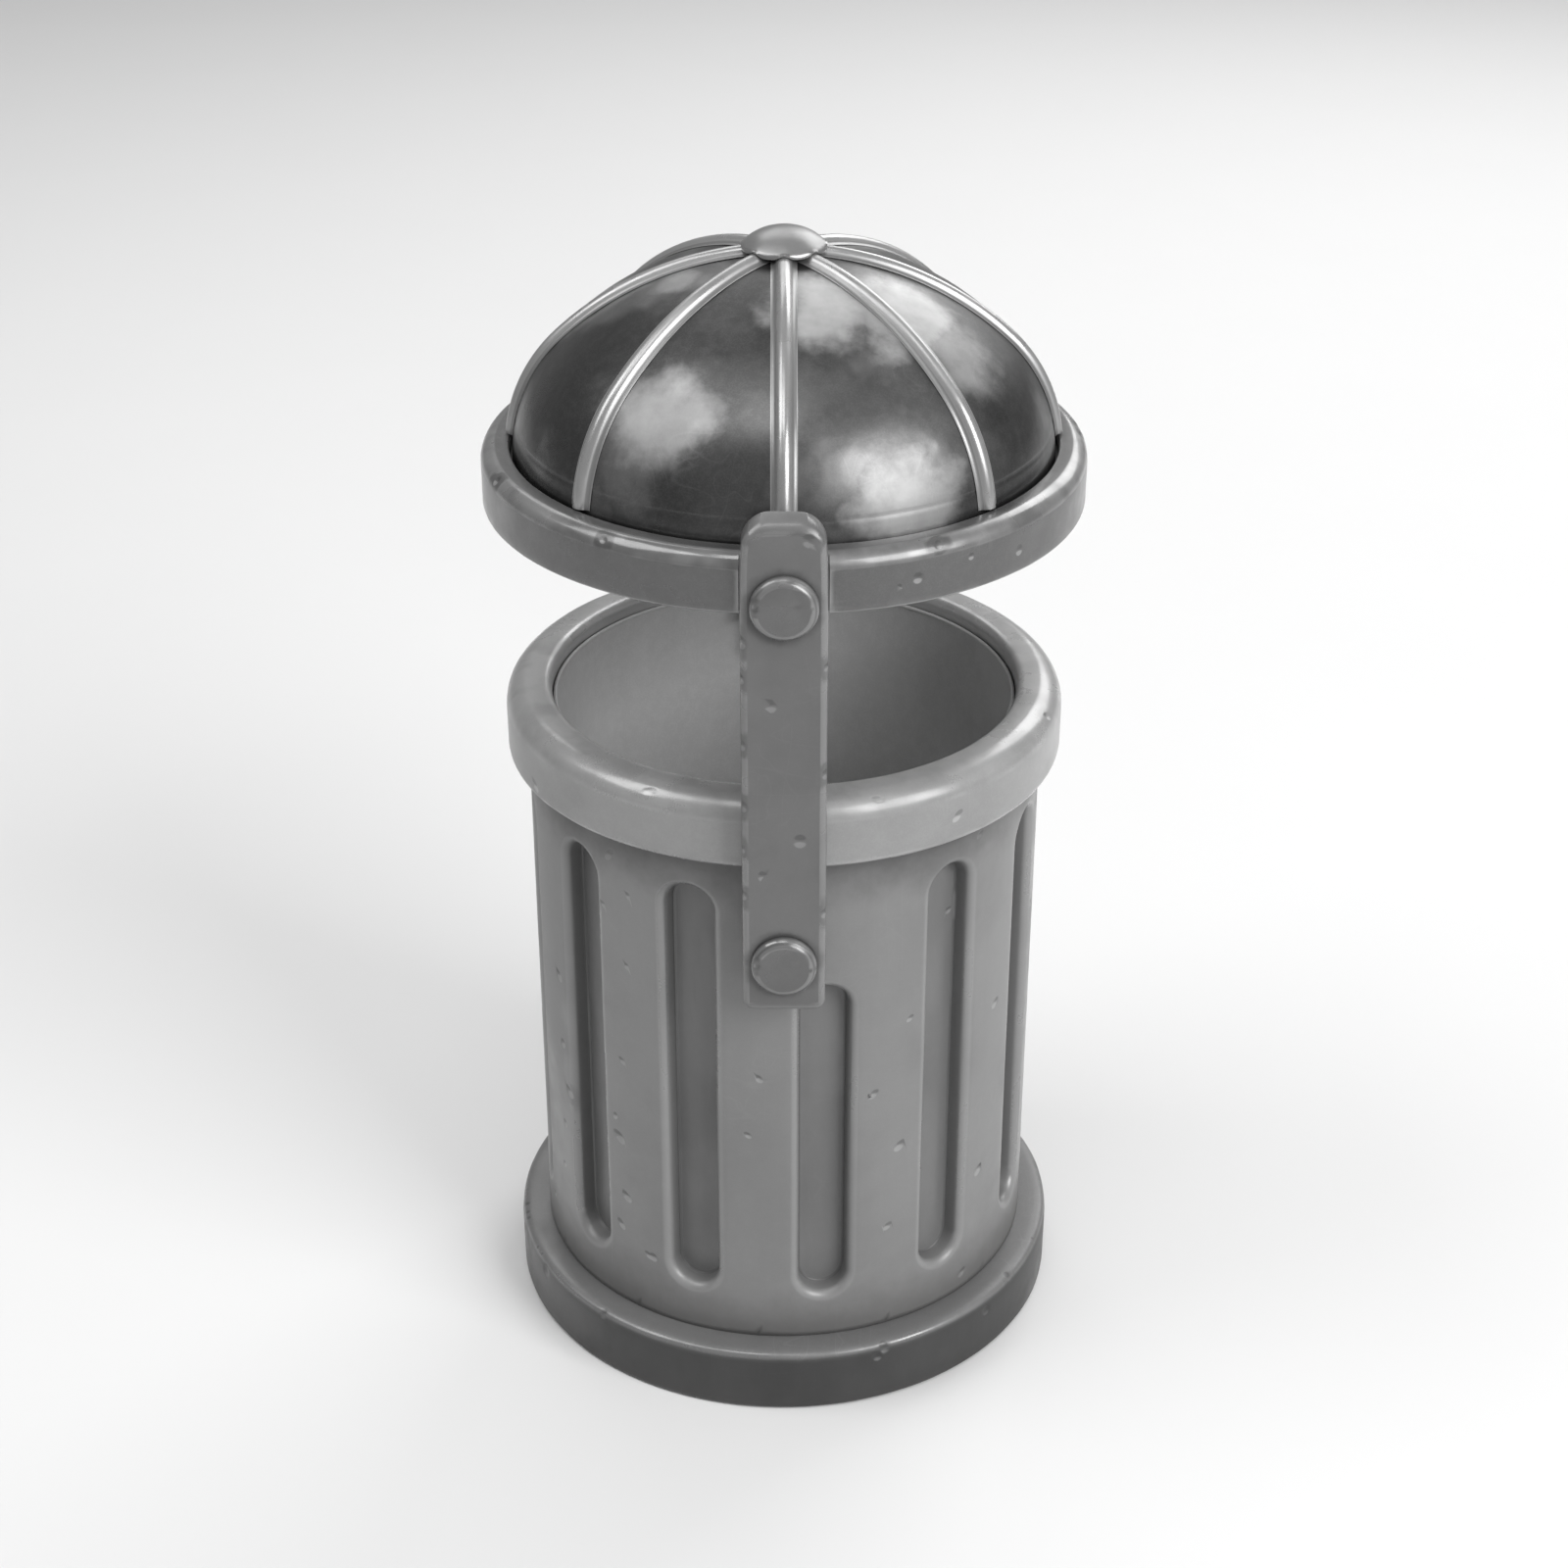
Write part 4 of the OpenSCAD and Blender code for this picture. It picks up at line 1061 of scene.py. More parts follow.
@dataclass
class BaseRing:
    """Heavy cast ring that the bin stands on."""

    outer_r: float = 0.296
    bore_r: float = 0.238
    flange_r: float = 0.190
    flange_t: float = 0.010
    top: float = 0.073
    edge_r: float = 0.020
    edge_mid_r: float = 0.2902
    squareness: float = 0.42
    foot_r: float = 0.005
    groove_in_r: float = 0.244
    groove_out_r: float = 0.284
    groove_top: float = 0.061
    groove_edge_r: float = 0.012
    anchor_circle_r: float = 0.210
    anchor_r: float = 0.007
    # Rows as wall_dents takes them
    knocks: tuple[tuple[float, ...], ...] = (
        (-41.1, 66.0, 290.9, 5.5, 1.5), (20.9, 65.0, 291.6, 6.5, 1.9), (19.5, 57.0, 295.6, 5.0, 1.2),
        (56.6, 68.0, 289.4, 5.0, 1.2), (47.5, 55.0, 295.9, 6.0, 1.0), (-62.0, 60.0, 294.9, 7.0, 1.3),
    )

    def build(self) -> Mesh:
        """Turn the ring's section, knock its edges and drill the anchor holes.

        Returns:
            The ring's mesh.
        """
        section = Profile(self.flange_r, 0.0).line(self.groove_in_r, 0.0)
        section.line(self.groove_in_r, self.groove_top, 2)
        section.corner(self.groove_out_r, self.groove_top, self.groove_edge_r, 4, 2, -90.0)
        section.line(self.groove_out_r, 0.0, 2).corner(self.outer_r, 0.0, self.foot_r, 4)
        section.corner(self.outer_r, self.top, self.edge_r, 14, 6)
        section.line(self.bore_r, self.top, 4).line(self.bore_r, self.flange_t, 3)
        bm = section.line(self.flange_r, self.flange_t, 2).close().turned(steps=220)
        self.square_up(bm)
        dents = wall_dents(self.knocks)
        dents += scattered_dents(16, seed=11, r=self.outer_r, low=0.012, high=0.052, size=0.006)
        dents += scattered_dents(14, seed=12, r=self.edge_mid_r, low=0.0671, high=0.0672, size=0.006)
        press_dents(bm, dents, longest=0.013)
        make_uneven(bm, amount=0.0009, wave=0.055, seed=3.1)
        for vert in bm.verts:
            vert.co.z = max(0.0, vert.co.z)
        holes = []
        for k in range(4):
            hole = bmesh.new()
            bmesh.ops.create_cone(
                hole, cap_ends=True, segments=32, radius1=self.anchor_r, radius2=self.anchor_r, depth=0.04,
                matrix=turned_by(45.0 + 90.0 * k) @ Matrix.Translation((0.0, -self.anchor_circle_r, 0.005)),
            )
            holes.append((Work.CUT, hole))
        return carved(bm, holes)

    def square_up(self, bm: Mesh) -> None:
        """Draw the wall up towards the top, so that the shoulder is flat and its outer edge shows.

        Args:
            bm: The ring.
        """
        for vert in bm.verts:
            out = vert.co.to_2d().length - self.outer_r + self.edge_r
            if out > 0.0 and vert.co.z > self.top - self.edge_r - TINY:
                steep = max(0.0, 1.0 - (vert.co.z - self.top + self.edge_r) / self.edge_r)
                broad = self.edge_r * self.squareness * steep ** 1.6
                vert.co.z = self.top - broad - (1.0 - self.squareness) * self.edge_r * steep ** 6

    def make(self) -> None:
        """Build the ring, mark its upright wall for painted shade and dress it."""
        bm = self.build()
        mark_bends(bm, radius=0.008)
        wall_r = self.outer_r - 0.01
        # Painted shade on the upright outer wall, which takes less light than the top
        mark_hollow_shading(bm, lambda v: 1.0 - max(0.0, v.normal.z) / 0.5 if v.co.to_2d().length > wall_r else 0.0)
        dress(shape_to_object(bm, "base_ring_cast"), BASE_IRON, Body.BIN, "base_ring")


@dataclass
class FlutedShell:
    """Round wall of the bin with twelve pressed flutes."""

    r: float = 0.265
    wall: float = 0.003
    foot: float = 0.073
    top: float = 0.7204
    flutes: int = 12
    phase: float = 9.0
    low_centre: float = 0.152
    high_centre: float = 0.587
    short_high_centre: float = 0.480
    lip_half: float = 0.0355
    lip_r: float = 0.0105
    floor_r: float = 0.003
    depth: float = 0.022
    wall_in: float = 0.001
    round_steps: int = 26
    side_rows: int = 22
    rings_out: int = 7
    # Azimuth, then height, size and depth in millimetres
    knocks: tuple[tuple[float, ...], ...] = (
        (-40.3, 285, 8.5, 2.4), (-38.7, 212, 7.5, 2.0), (-38.6, 383, 5.0, 1.1), (-59.0, 296, 8.0, 1.9),
        (-32.7, 147, 5.0, 1.0), (-42.9, 562, 4.5, 0.8), (-35.4, 584, 5.0, 0.9), (-36.6, 501, 5.0, 0.9),
        (-62.0, 434, 7.5, 1.7), (-5.6, 400, 5.5, 1.0), (20.0, 371, 6.0, 1.2), (26.7, 299, 7.5, 1.7),
        (51.2, 217, 7.5, 1.8), (46.3, 93, 6.0, 1.2), (47.0, 634, 5.0, 1.0), (55.4, 417, 6.5, 1.3),
        (28.5, 452, 4.5, 0.7), (-8.0, 330, 4.5, 0.7), (24.0, 200, 5.5, 0.8),
    )

    def cell(self, high: float) -> Mesh:
        """Press one flute into a flat panel one pitch wide, where Y is the depth below the wall.

        Args:
            high: Height of the centre of the flute's upper round end.

        Returns:
            The flat panel.
        """
        bm = bmesh.new()
        laid = Matrix.Translation((0.0, 0.0, self.low_centre)) @ turned_by(90.0, "X")
        laid = laid @ Matrix.Rotation(pi / (2 * self.round_steps), 4, "Z")
        bmesh.ops.create_circle(bm, segments=2 * self.round_steps, radius=self.lip_half, matrix=laid)
        upper = [v for v in bm.verts if v.co.z > self.low_centre]
        bmesh.ops.translate(bm, verts=upper, vec=(0.0, 0.0, high - self.low_centre))
        sides = [e for e in bm.edges if abs(e.verts[0].co.z - e.verts[1].co.z) > 0.1]
        bmesh.ops.subdivide_edges(bm, edges=sides, cuts=self.side_rows - 1)
        bmesh.ops.edgeloop_fill(bm, edges=bm.edges[:])
        self.spread(bm, high)
        flute = max(bm.faces, key=lambda face: len(face.verts))
        if flute.normal.y > 0.0:
            bmesh.ops.reverse_faces(bm, faces=bm.faces[:])
        self.press(bm, flute)
        return bm

    def spread(self, bm: Mesh, high: float) -> None:
        """Grow the plain wall from the flute's rim out to the panel's own rim.

        Args:
            bm: The panel, which so far holds the flute's face.
            high: Height of the centre of the flute's upper round end.
        """
        half = self.r * sin(pi / self.flutes)
        first = self.low_centre - self.lip_half * sin(pi / (2 * self.round_steps))
        rim = dict.fromkeys(of_kind(bmesh.ops.extrude_edge_only(bm, edges=bm.edges[:])["geom"], Vert))
        corners: dict[tuple[float, float], tuple[float, Vert]] = {}
        for vert in rim:
            x, z = vert.co.x, vert.co.z
            upper = z > high - TINY
            if not upper and z >= self.low_centre + TINY:
                share = (z - first) / (high + self.low_centre - 2.0 * first)
                level = first + share * (self.high_centre + self.low_centre - 2.0 * first)
                vert.co = (copysign(half, x), 0.0, level)
                continue
            centre = high if upper else self.low_centre
            start, end = (self.high_centre, self.top) if upper else (self.low_centre, self.foot)
            way = Vector((x, z - centre)).normalized()
            rise = way.y if abs(way.y) > TINY else TINY
            reach = min(half / max(abs(way.x), TINY), (end - start) / rise)
            if reach <= 0.0:
                reach = half / abs(way.x)
            vert.co = (way.x * reach, 0.0, start + way.y * reach)
            corner = (copysign(half, x), end)
            off = (vert.co - Vector((corner[0], 0.0, corner[1]))).length
            if corner not in corners or off < corners[corner][0]:
                corners[corner] = (off, vert)
        for (x, z), (_, vert) in corners.items():
            vert.co = (x, 0.0, z)
        spokes = [e for e in bm.edges if (e.verts[0] in rim) != (e.verts[1] in rim)]
        bmesh.ops.subdivide_edges(bm, edges=spokes, cuts=self.rings_out)

    def press(self, bm: Mesh, flute: bmesh.types.BMFace) -> None:
        """Inset the flute's face ring by ring along its lip, wall and floor.

        Args:
            bm: The panel.
            flute: The flute's face.
        """
        steps = quarter_round(self.lip_r, 6)
        steps += [(self.wall_in / 3.0, (self.depth - self.lip_r - self.floor_r) / 3.0)] * 3
        steps += [(inwards, down) for down, inwards in quarter_round(self.floor_r, 4)]
        left = self.lip_half - sum(inwards for inwards, _ in steps)
        for inwards, down in [*steps, *[(left * 0.22, 0.0)] * 4]:
            bmesh.ops.inset_region(bm, faces=[flute], thickness=inwards, depth=-down, use_even_offset=True)

    def build(self) -> Mesh:
        """Join twelve panels round the bin and press the knocks of use into them.

        Returns:
            The shell's outer surface.
        """
        whole = bmesh.new()
        for k in range(self.flutes):
            panel = self.cell(self.high_centre if k % (self.flutes // 2) else self.short_high_centre)
            for vert in panel.verts:
                r = self.r - vert.co.y
                vert.co.y = -sqrt(r * r - vert.co.x ** 2)
            panel.transform(turned_by(self.phase + 30.0 * k))
            flat = bpy.data.meshes.new("panel")
            panel.to_mesh(flat)
            panel.free()
            whole.from_mesh(flat)
            bpy.data.meshes.remove(flat)
        bmesh.ops.remove_doubles(whole, verts=whole.verts[:], dist=20.0 * TINY)
        bmesh.ops.recalc_face_normals(whole, faces=whole.faces[:])
        if sum(f.normal.dot(f.calc_center_median() * Vector((1.0, 1.0, 0.0))) for f in whole.faces) < 0.0:
            bmesh.ops.reverse_faces(whole, faces=whole.faces[:])
        dents = [
            Dent(
                on_wall(a, z * MM, self.r), radius=0.58 * size * MM, depth=depth * MM, stretch=1.7,
                slant=copysign(50.0, a),
            )
            for a, z, size, depth in self.knocks
        ]
        dents.append(Dent(on_wall(42.6, 0.5455, self.r - self.depth), 0.003, 0.0012, stretch=1.6, slant=70.0))
        for k in range(2, 11):
            middle = (self.phase + 30.0 * k + 195.0) % 360.0 - 180.0
            beyond = ((-180.0, middle - 6.0), (middle + 6.0, 180.0))
            dents += scattered_dents(
                4, seed=29 + k, r=self.r, low=0.1, high=0.63, size=0.0055, keep_out=beyond,
            )
        press_dents(whole, dents, longest=0.024)
        make_uneven(whole, amount=0.0006, wave=0.07, seed=8.4)
        return whole

    def make(self) -> None:
        """Build the shell, give the sheet its thickness and dress it."""
        bm = self.build()
        mark_bends(bm, radius=0.007)
        # Painted shade in the flutes, full at their floors
        mark_hollow_shading(bm, lambda v: (self.r - v.co.to_2d().length) / self.depth)
        obj = thicken(shape_to_object(bm, "shell_fluted", smooth_angle=50.0), self.wall)
        dress(obj, SHELL_PAINT, Body.BIN, "shell")


@dataclass
class Collar:
    """Broad rounded collar round the mouth of the bin."""

    r: float = 0.285
    bore_r: float = 0.2376
    low: float = 0.653
    top: float = 0.725
    edge_r: float = 0.024
    edge_mid_r: float = 0.278
    mouth_r: float = 0.010
    foot_r: float = 0.008
    # Share of painted light on the collar's upward faces, given through the edge attribute
    top_light: float = 0.6
    # Rows as wall_dents takes them
    knocks: tuple[tuple[float, ...], ...] = (
        (-27.5, 719.0, 276.6, 3.6, 0.9, 2.4, 70.0), (18.7, 719.0, 276.4, 3.2, 0.6, 2.2, -65.0),
        (36.0, 683.0, 285.0, 4.0, 0.4, 1.7, 50.0), (-60.0, 668.0, 285.0, 4.0, 0.5, 1.7, -50.0),
    )

    def make(self) -> None:
        """Turn the collar's section, knock its edges, mark its edge wear, the painted light on its top and
        the painted light in its bore, and dress it.
        """
        section = Profile(self.bore_r, self.low).corner(self.r, self.low, self.foot_r, 5, 3)
        section.corner(self.r, self.top, self.edge_r, 12, 5).corner(self.bore_r, self.top, self.mouth_r, 7, 2)
        bm = section.line(self.bore_r, self.low, 6).close().turned(steps=220)
        dents = wall_dents(self.knocks)
        dents += scattered_dents(12, seed=21, r=self.r, low=0.665, high=0.700, size=0.005)
        dents += scattered_dents(9, seed=22, r=self.edge_mid_r, low=0.718, high=0.7181, size=0.005)
        press_dents(bm, dents, longest=0.012)
        make_uneven(bm, amount=0.0008, wave=0.05, seed=5.7)
        mark_bends(bm, radius=0.012)
        edge = bm.verts.layers.float["edge"]
        # Painted light: the more a face looks up, the lighter it is painted
        for vert in bm.verts:
            vert[edge] = max(vert[edge], self.top_light * vert.normal.z)
        # Painted light in the bore, towards the liner's lighter tone
        mark_hollow_shading(bm, lambda v: 1.0 - (v.co.to_2d().length - self.bore_r) / self.mouth_r)
        dress(shape_to_object(bm, "collar_rounded"), COLLAR_PAINT, Body.BIN, "collar")


@dataclass
class Liner:
    """Lift-out sheet liner with a wired rim."""

    r: float = 0.2355
    wall: float = 0.0015
    low: float = 0.0193
    top: float = 0.708
    bead_r: float = 0.0022
    foot_r: float = 0.006

    def make(self) -> None:
        """Turn the liner's section, with the bead on its rim, and dress it."""
        half, bead_z, foot_z = self.wall / 2.0, self.top - self.bead_r, self.low + self.foot_r
        lift = sqrt(self.bead_r ** 2 - half ** 2)
        open_angle = degrees(2.0 * asin(self.wall / (2.0 * self.bead_r)))
        section = Profile(0.0, self.low).corner(self.r, self.low, self.foot_r, 4, 4)
        section.line(self.r, bead_z - lift, 12).arc(self.r - half, bead_z, 360.0 - open_angle, 14)
        section.line(self.r - self.wall, foot_z, 12).arc(self.r - self.foot_r, foot_z, -90.0, 4)
        bm = section.line(0.0, self.low + self.wall, 4).turned(steps=160)
        make_uneven(bm, amount=0.0004, wave=0.09, seed=2.2)
        mark_bends(bm, radius=0.003)
        dress(shape_to_object(bm, "liner_sheet"), LINER_PAINT, Body.LINER, "liner")


@dataclass
class Arms:
    """The two upright arms that carry the hood, with their four round-headed bolts."""

    width: float = 0.081
    back: float = 0.287
    face: float = 0.310
    foot: float = 0.510
    top: float = 1.026
    top_r: float = 0.026
    foot_r: float = 0.012
    front_bevel: float = 0.007
    back_bevel: float = 0.0018
    taper_z: float = 0.965
    taper: float = 0.09
    brow: float = 0.011
    grid: float = 0.011
    head_t: float = 0.012
    head_crown: float = 0.0009
    head_edge: float = 0.0086
    head_edge_r: float = 0.0072
    # Nicks between these two heights in millimetres are turned about mirror_z on the rear arm
    mirrored_low: int = 560
    mirrored_high: int = 970
    mirror_z: int = 767
    # Place across and up the arm, size and depth in millimetres
    knocks: tuple[tuple[float, ...], ...] = (
        (-38.5, 905, 6.0, 1.8), (-39.0, 868, 4.5, 1.3), (-38.5, 800, 5.0, 1.4), (-38.0, 736, 5.5, 1.6),
        (-38.5, 690, 4.0, 1.1), (-38.0, 640, 5.0, 1.2), (38.0, 880, 4.0, 1.0), (38.5, 770, 5.0, 1.2),
        (38.0, 620, 5.0, 1.1), (-12.0, 842, 6.0, 0.4), (15.0, 700, 6.5, 0.35), (-20.0, 662, 5.0, 0.3),
        (22.0, 1006, 6.0, 0.5),
    )

    def arm(self, rear: bool) -> Mesh:
        """Shape an arm from a block.

        Args:
            rear: Whether it is the rear arm.

        Returns:
            The arm's mesh.
        """
        half = self.width / 2.0
        bm = block((-half, -self.face, self.foot), (half, -self.back, self.top))
        corners = [e for e in bm.edges if abs(e.verts[0].co.y - e.verts[1].co.y) > 0.01]
        for upper, size, parts in ((True, self.top_r, 9), (False, self.foot_r, 6)):
            chosen = [e for e in corners if e.is_valid and (e.verts[0].co.z > 0.8) == upper]
            round_edges(bm, chosen, size, parts)
        for pick, size, parts in ((min, self.front_bevel, 4), (max, self.back_bevel, 2)):
            rim = pick(bm.faces, key=lambda f: f.normal.y * (1.0 + f.calc_area()))
            round_edges(bm, list(rim.edges), size, parts)
        rows = range(1, int((self.top - self.foot) / self.grid) + 1)
        cuts = [((0.0, 0.0, self.foot + self.grid * k), (0.0, 0.0, 1.0)) for k in rows]
        cuts += [((self.grid * k, 0.0, 0.0), (1.0, 0.0, 0.0)) for k in range(-3, 4)]
        for place, normal in cuts:
            geom = bm.verts[:] + bm.edges[:] + bm.faces[:]
            bmesh.ops.bisect_plane(bm, geom=geom, dist=10.0 * TINY, plane_co=place, plane_no=normal)
        for vert in bm.verts:
            above = max(0.0, (vert.co.z - self.taper_z) / (self.top - self.taper_z))
            vert.co.x *= 1.0 - self.taper * above ** 1.5
            forward = max(0.0, (-vert.co.y - self.back) / (self.face - self.back) - 0.45) / 0.55
            vert.co.z -= self.brow * above ** 3 * forward
        press_dents(bm, self.dents(rear), longest=0.013)
        make_uneven(bm, amount=0.0011, wave=0.045, seed=6.5 if rear else 1.3)
        bm.transform(turned_by(180.0 if rear else 0.0))
        mark_bends(bm, radius=0.008)
        return bm

    def dents(self, rear: bool) -> list[Dent]:
        """Place the nicks along an arm's edges and on its face.

        Args:
            rear: Whether it is the rear arm, whose nicks are turned about.

        Returns:
            The dents.
        """
        dents = []
        for x, z, size, depth in self.knocks:
            if rear:
                x = -x
                if self.mirrored_low < z < self.mirrored_high:
                    z = 2 * self.mirror_z - z
            y = self.face - (0.004 if abs(x) > 35.0 else 0.0)
            dents.append(Dent(Vector((x * MM, -y, z * MM)), size * MM, depth * MM))
        return dents

    def bolt(self, shank_r: float, length: float, seed: float) -> Mesh:
        """Turn a bolt with a large round head, standing on Z with its seat at z = 0.

        Args:
            shank_r: Radius of the shank.
            length: Length of the shank.
            seed: Where the unevenness starts.

        Returns:
            The bolt's mesh.
        """
        rim = self.head_t - self.head_crown
        run = self.head_edge_r * tan(radians(22.5))
        shoulder = self.head_edge - run
        inner, side = HEAD_R - shoulder - run, rim - shoulder - run
        sphere = (inner ** 2 + self.head_crown ** 2) / (2.0 * self.head_crown)
        section = Profile(0.0, -length).line(shank_r - 0.001, -length).line(shank_r, -length + 0.001)
        section.line(shank_r, 0.0, 4).line(HEAD_R - 0.0006, 0.0, 4).line(HEAD_R, 0.0006)
        section.line(HEAD_R, side, 2).arc(HEAD_R - self.head_edge_r, side, 45.0, 5)
        section.line(inner + self.head_edge_r * sin(radians(45.0)), rim - run * sqrt(2.0) * 0.5, 3)
        section.arc(inner, rim - self.head_edge_r, 45.0, 5)
        bm = section.arc(0.0, self.head_t - sphere, degrees(asin(inner / sphere)), 7).turned(steps=72)
        dents = [
            Dent(Vector((0.012, 0.009, self.head_t)), radius=0.005, depth=0.0005),
            Dent(Vector((-0.026, 0.004, self.head_t - 0.002)), radius=0.004, depth=0.0008),
        ]
        press_dents(bm, dents, longest=0.006)
        make_uneven(bm, amount=0.0008, wave=0.022, seed=seed)
        return bm

    def make(self) -> None:
        """Build both arms and their four bolts and dress them."""
        for side, azimuth in SIDES:
            obj = shape_to_object(self.arm(side == "rear"), f"arm_{side}_cast")
            dress(obj, ARM_METAL, Body.HOOD, f"arm_{side}")
            for node, body, z, shank_r in (
                (f"pivot_bolt_{side}", Body.BIN, PIVOT_Z, 0.010),
                (f"upper_bolt_{side}", Body.HOOD, UPPER_Z, 0.008),
            ):
                ends = [abs(corner.y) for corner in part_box(node)]
                seat = max(ends) - self.head_t
                bm = self.bolt(shank_r, seat - min(ends), z * 9.0 + len(side))
                bm.transform(turned_by(azimuth) @ Matrix.Translation((0.0, -seat, z)) @ turned_by(90.0, "X"))
                mark_bends(bm, radius=0.006)
                dress(shape_to_object(bm, f"{node}_head"), HEAD_METAL, body, node)


@dataclass
class HoodBand:
    """Cast band of the hood, let in for the arms, with the seat of the dome inside."""

    r: float = 0.298
    inner_r: float = 0.290
    lip_r: float = 0.269
    lip_t: float = 0.010
    lip_edge_r: float = 0.003
    low: float = 0.927
    top: float = 0.985
    edge_r: float = 0.016
    edge_mid_r: float = 0.2938
    foot_r: float = 0.003
    ledge_r: float = 0.247
    ledge_z: float = 0.958
    ledge_top: float = 0.966
    arm_back: float = 0.287
    arm_half: float = 0.0408
    flare_half: float = 0.0413
    seat_half: float = 0.052
    seat_t: float = 0.012
    # Rows as wall_dents takes them
    knocks: tuple[tuple[float, ...], ...] = (
        (24.0, 953.0, 298.0, 5.0, 1.1), (20.5, 947.0, 298.0, 3.0, 0.3), (35.0, 962.0, 298.0, 3.5, 0.3),
        (28.5, 980.0, 293.2, 4.0, 0.6), (-34.0, 979.0, 294.2, 4.0, 0.5), (47.0, 950.0, 298.0, 5.0, 0.4),
    )
    # Azimuths at which no knocks are scattered
    plain: tuple[tuple[float, float], ...] = ((-62.0, 62.0), (166.0, 180.0), (-180.0, -166.0))

    def ring(self) -> Mesh:
        """Turn the band's section and knock its outside.

        Returns:
            The plain ring.
        """
        section = Profile(self.ledge_r, self.ledge_z)
        section.line(self.inner_r, self.ledge_z, 2).line(self.inner_r, self.low, 2)
        section.corner(self.r, self.low, self.foot_r, 4).corner(self.r, self.top, self.edge_r, 12, 4)
        section.corner(self.lip_r, self.top, self.lip_edge_r, 4).line(self.lip_r, self.top - self.lip_t)
        section.line(self.inner_r, self.top - self.lip_t, 2).line(self.inner_r, self.ledge_top)
        bm = section.line(self.ledge_r, self.ledge_top, 4).close().turned(steps=240)
        dents, plain = wall_dents(self.knocks), self.plain
        dents += scattered_dents(12, seed=31, r=self.r, low=0.936, high=0.968, size=0.0045, keep_out=plain)
        dents += scattered_dents(
            9, seed=32, r=self.edge_mid_r, low=0.9798, high=0.9799, size=0.005, keep_out=plain,
        )
        press_dents(bm, dents, longest=0.012)
        make_uneven(bm, amount=0.0009, wave=0.045, seed=4.4)
        return bm

    def notch(self) -> Mesh:
        """Build the solid that lets the front arm into the band.

        Returns:
            The solid.
        """
        bm = bmesh.new()
        left = [(-self.arm_half, self.arm_back), (-self.arm_half, self.arm_back + 0.005)]
        left.append((-self.flare_half, self.r + 0.001))
        outline = left + [(-x, y) for x, y in reversed(left)]
        foot = bm.faces.new([bm.verts.new((x, -y, self.low - 0.001)) for x, y in outline])
        raised = of_kind(bmesh.ops.extrude_face_region(bm, geom=[foot])["geom"], Vert)
        bmesh.ops.translate(bm, verts=raised, vec=(0.0, 0.0, self.top - self.low + 0.002))
        bmesh.ops.recalc_face_normals(bm, faces=bm.faces[:])
        return bm

    def make(self) -> None:
        """Join the arm seats to the ring, cut the two notches and dress the band."""
        low = (-self.seat_half, -self.arm_back - 0.0006, self.low + 0.0006)
        high = (self.seat_half, -self.arm_back + self.seat_t, self.top - self.lip_t + 0.001)
        tools = []
        for _, azimuth in SIDES:
            for work, tool in ((Work.JOIN, block(low, high)), (Work.CUT, self.notch())):
                tool.transform(turned_by(azimuth))
                tools.append((work, tool))
        bm = carved(self.ring(), tools)
        mark_bends(bm, radius=0.01)
        obj = shape_to_object(bm, "hood_band_cast", smooth_angle=34.0)
        soft = obj.modifiers.new("soft_edges", "BEVEL")
        soft.width, soft.segments, soft.limit_method, soft.angle_limit = 0.0012, 2, "ANGLE", radians(42.0)
        dress(obj, BAND_METAL, Body.HOOD, "lid_band")


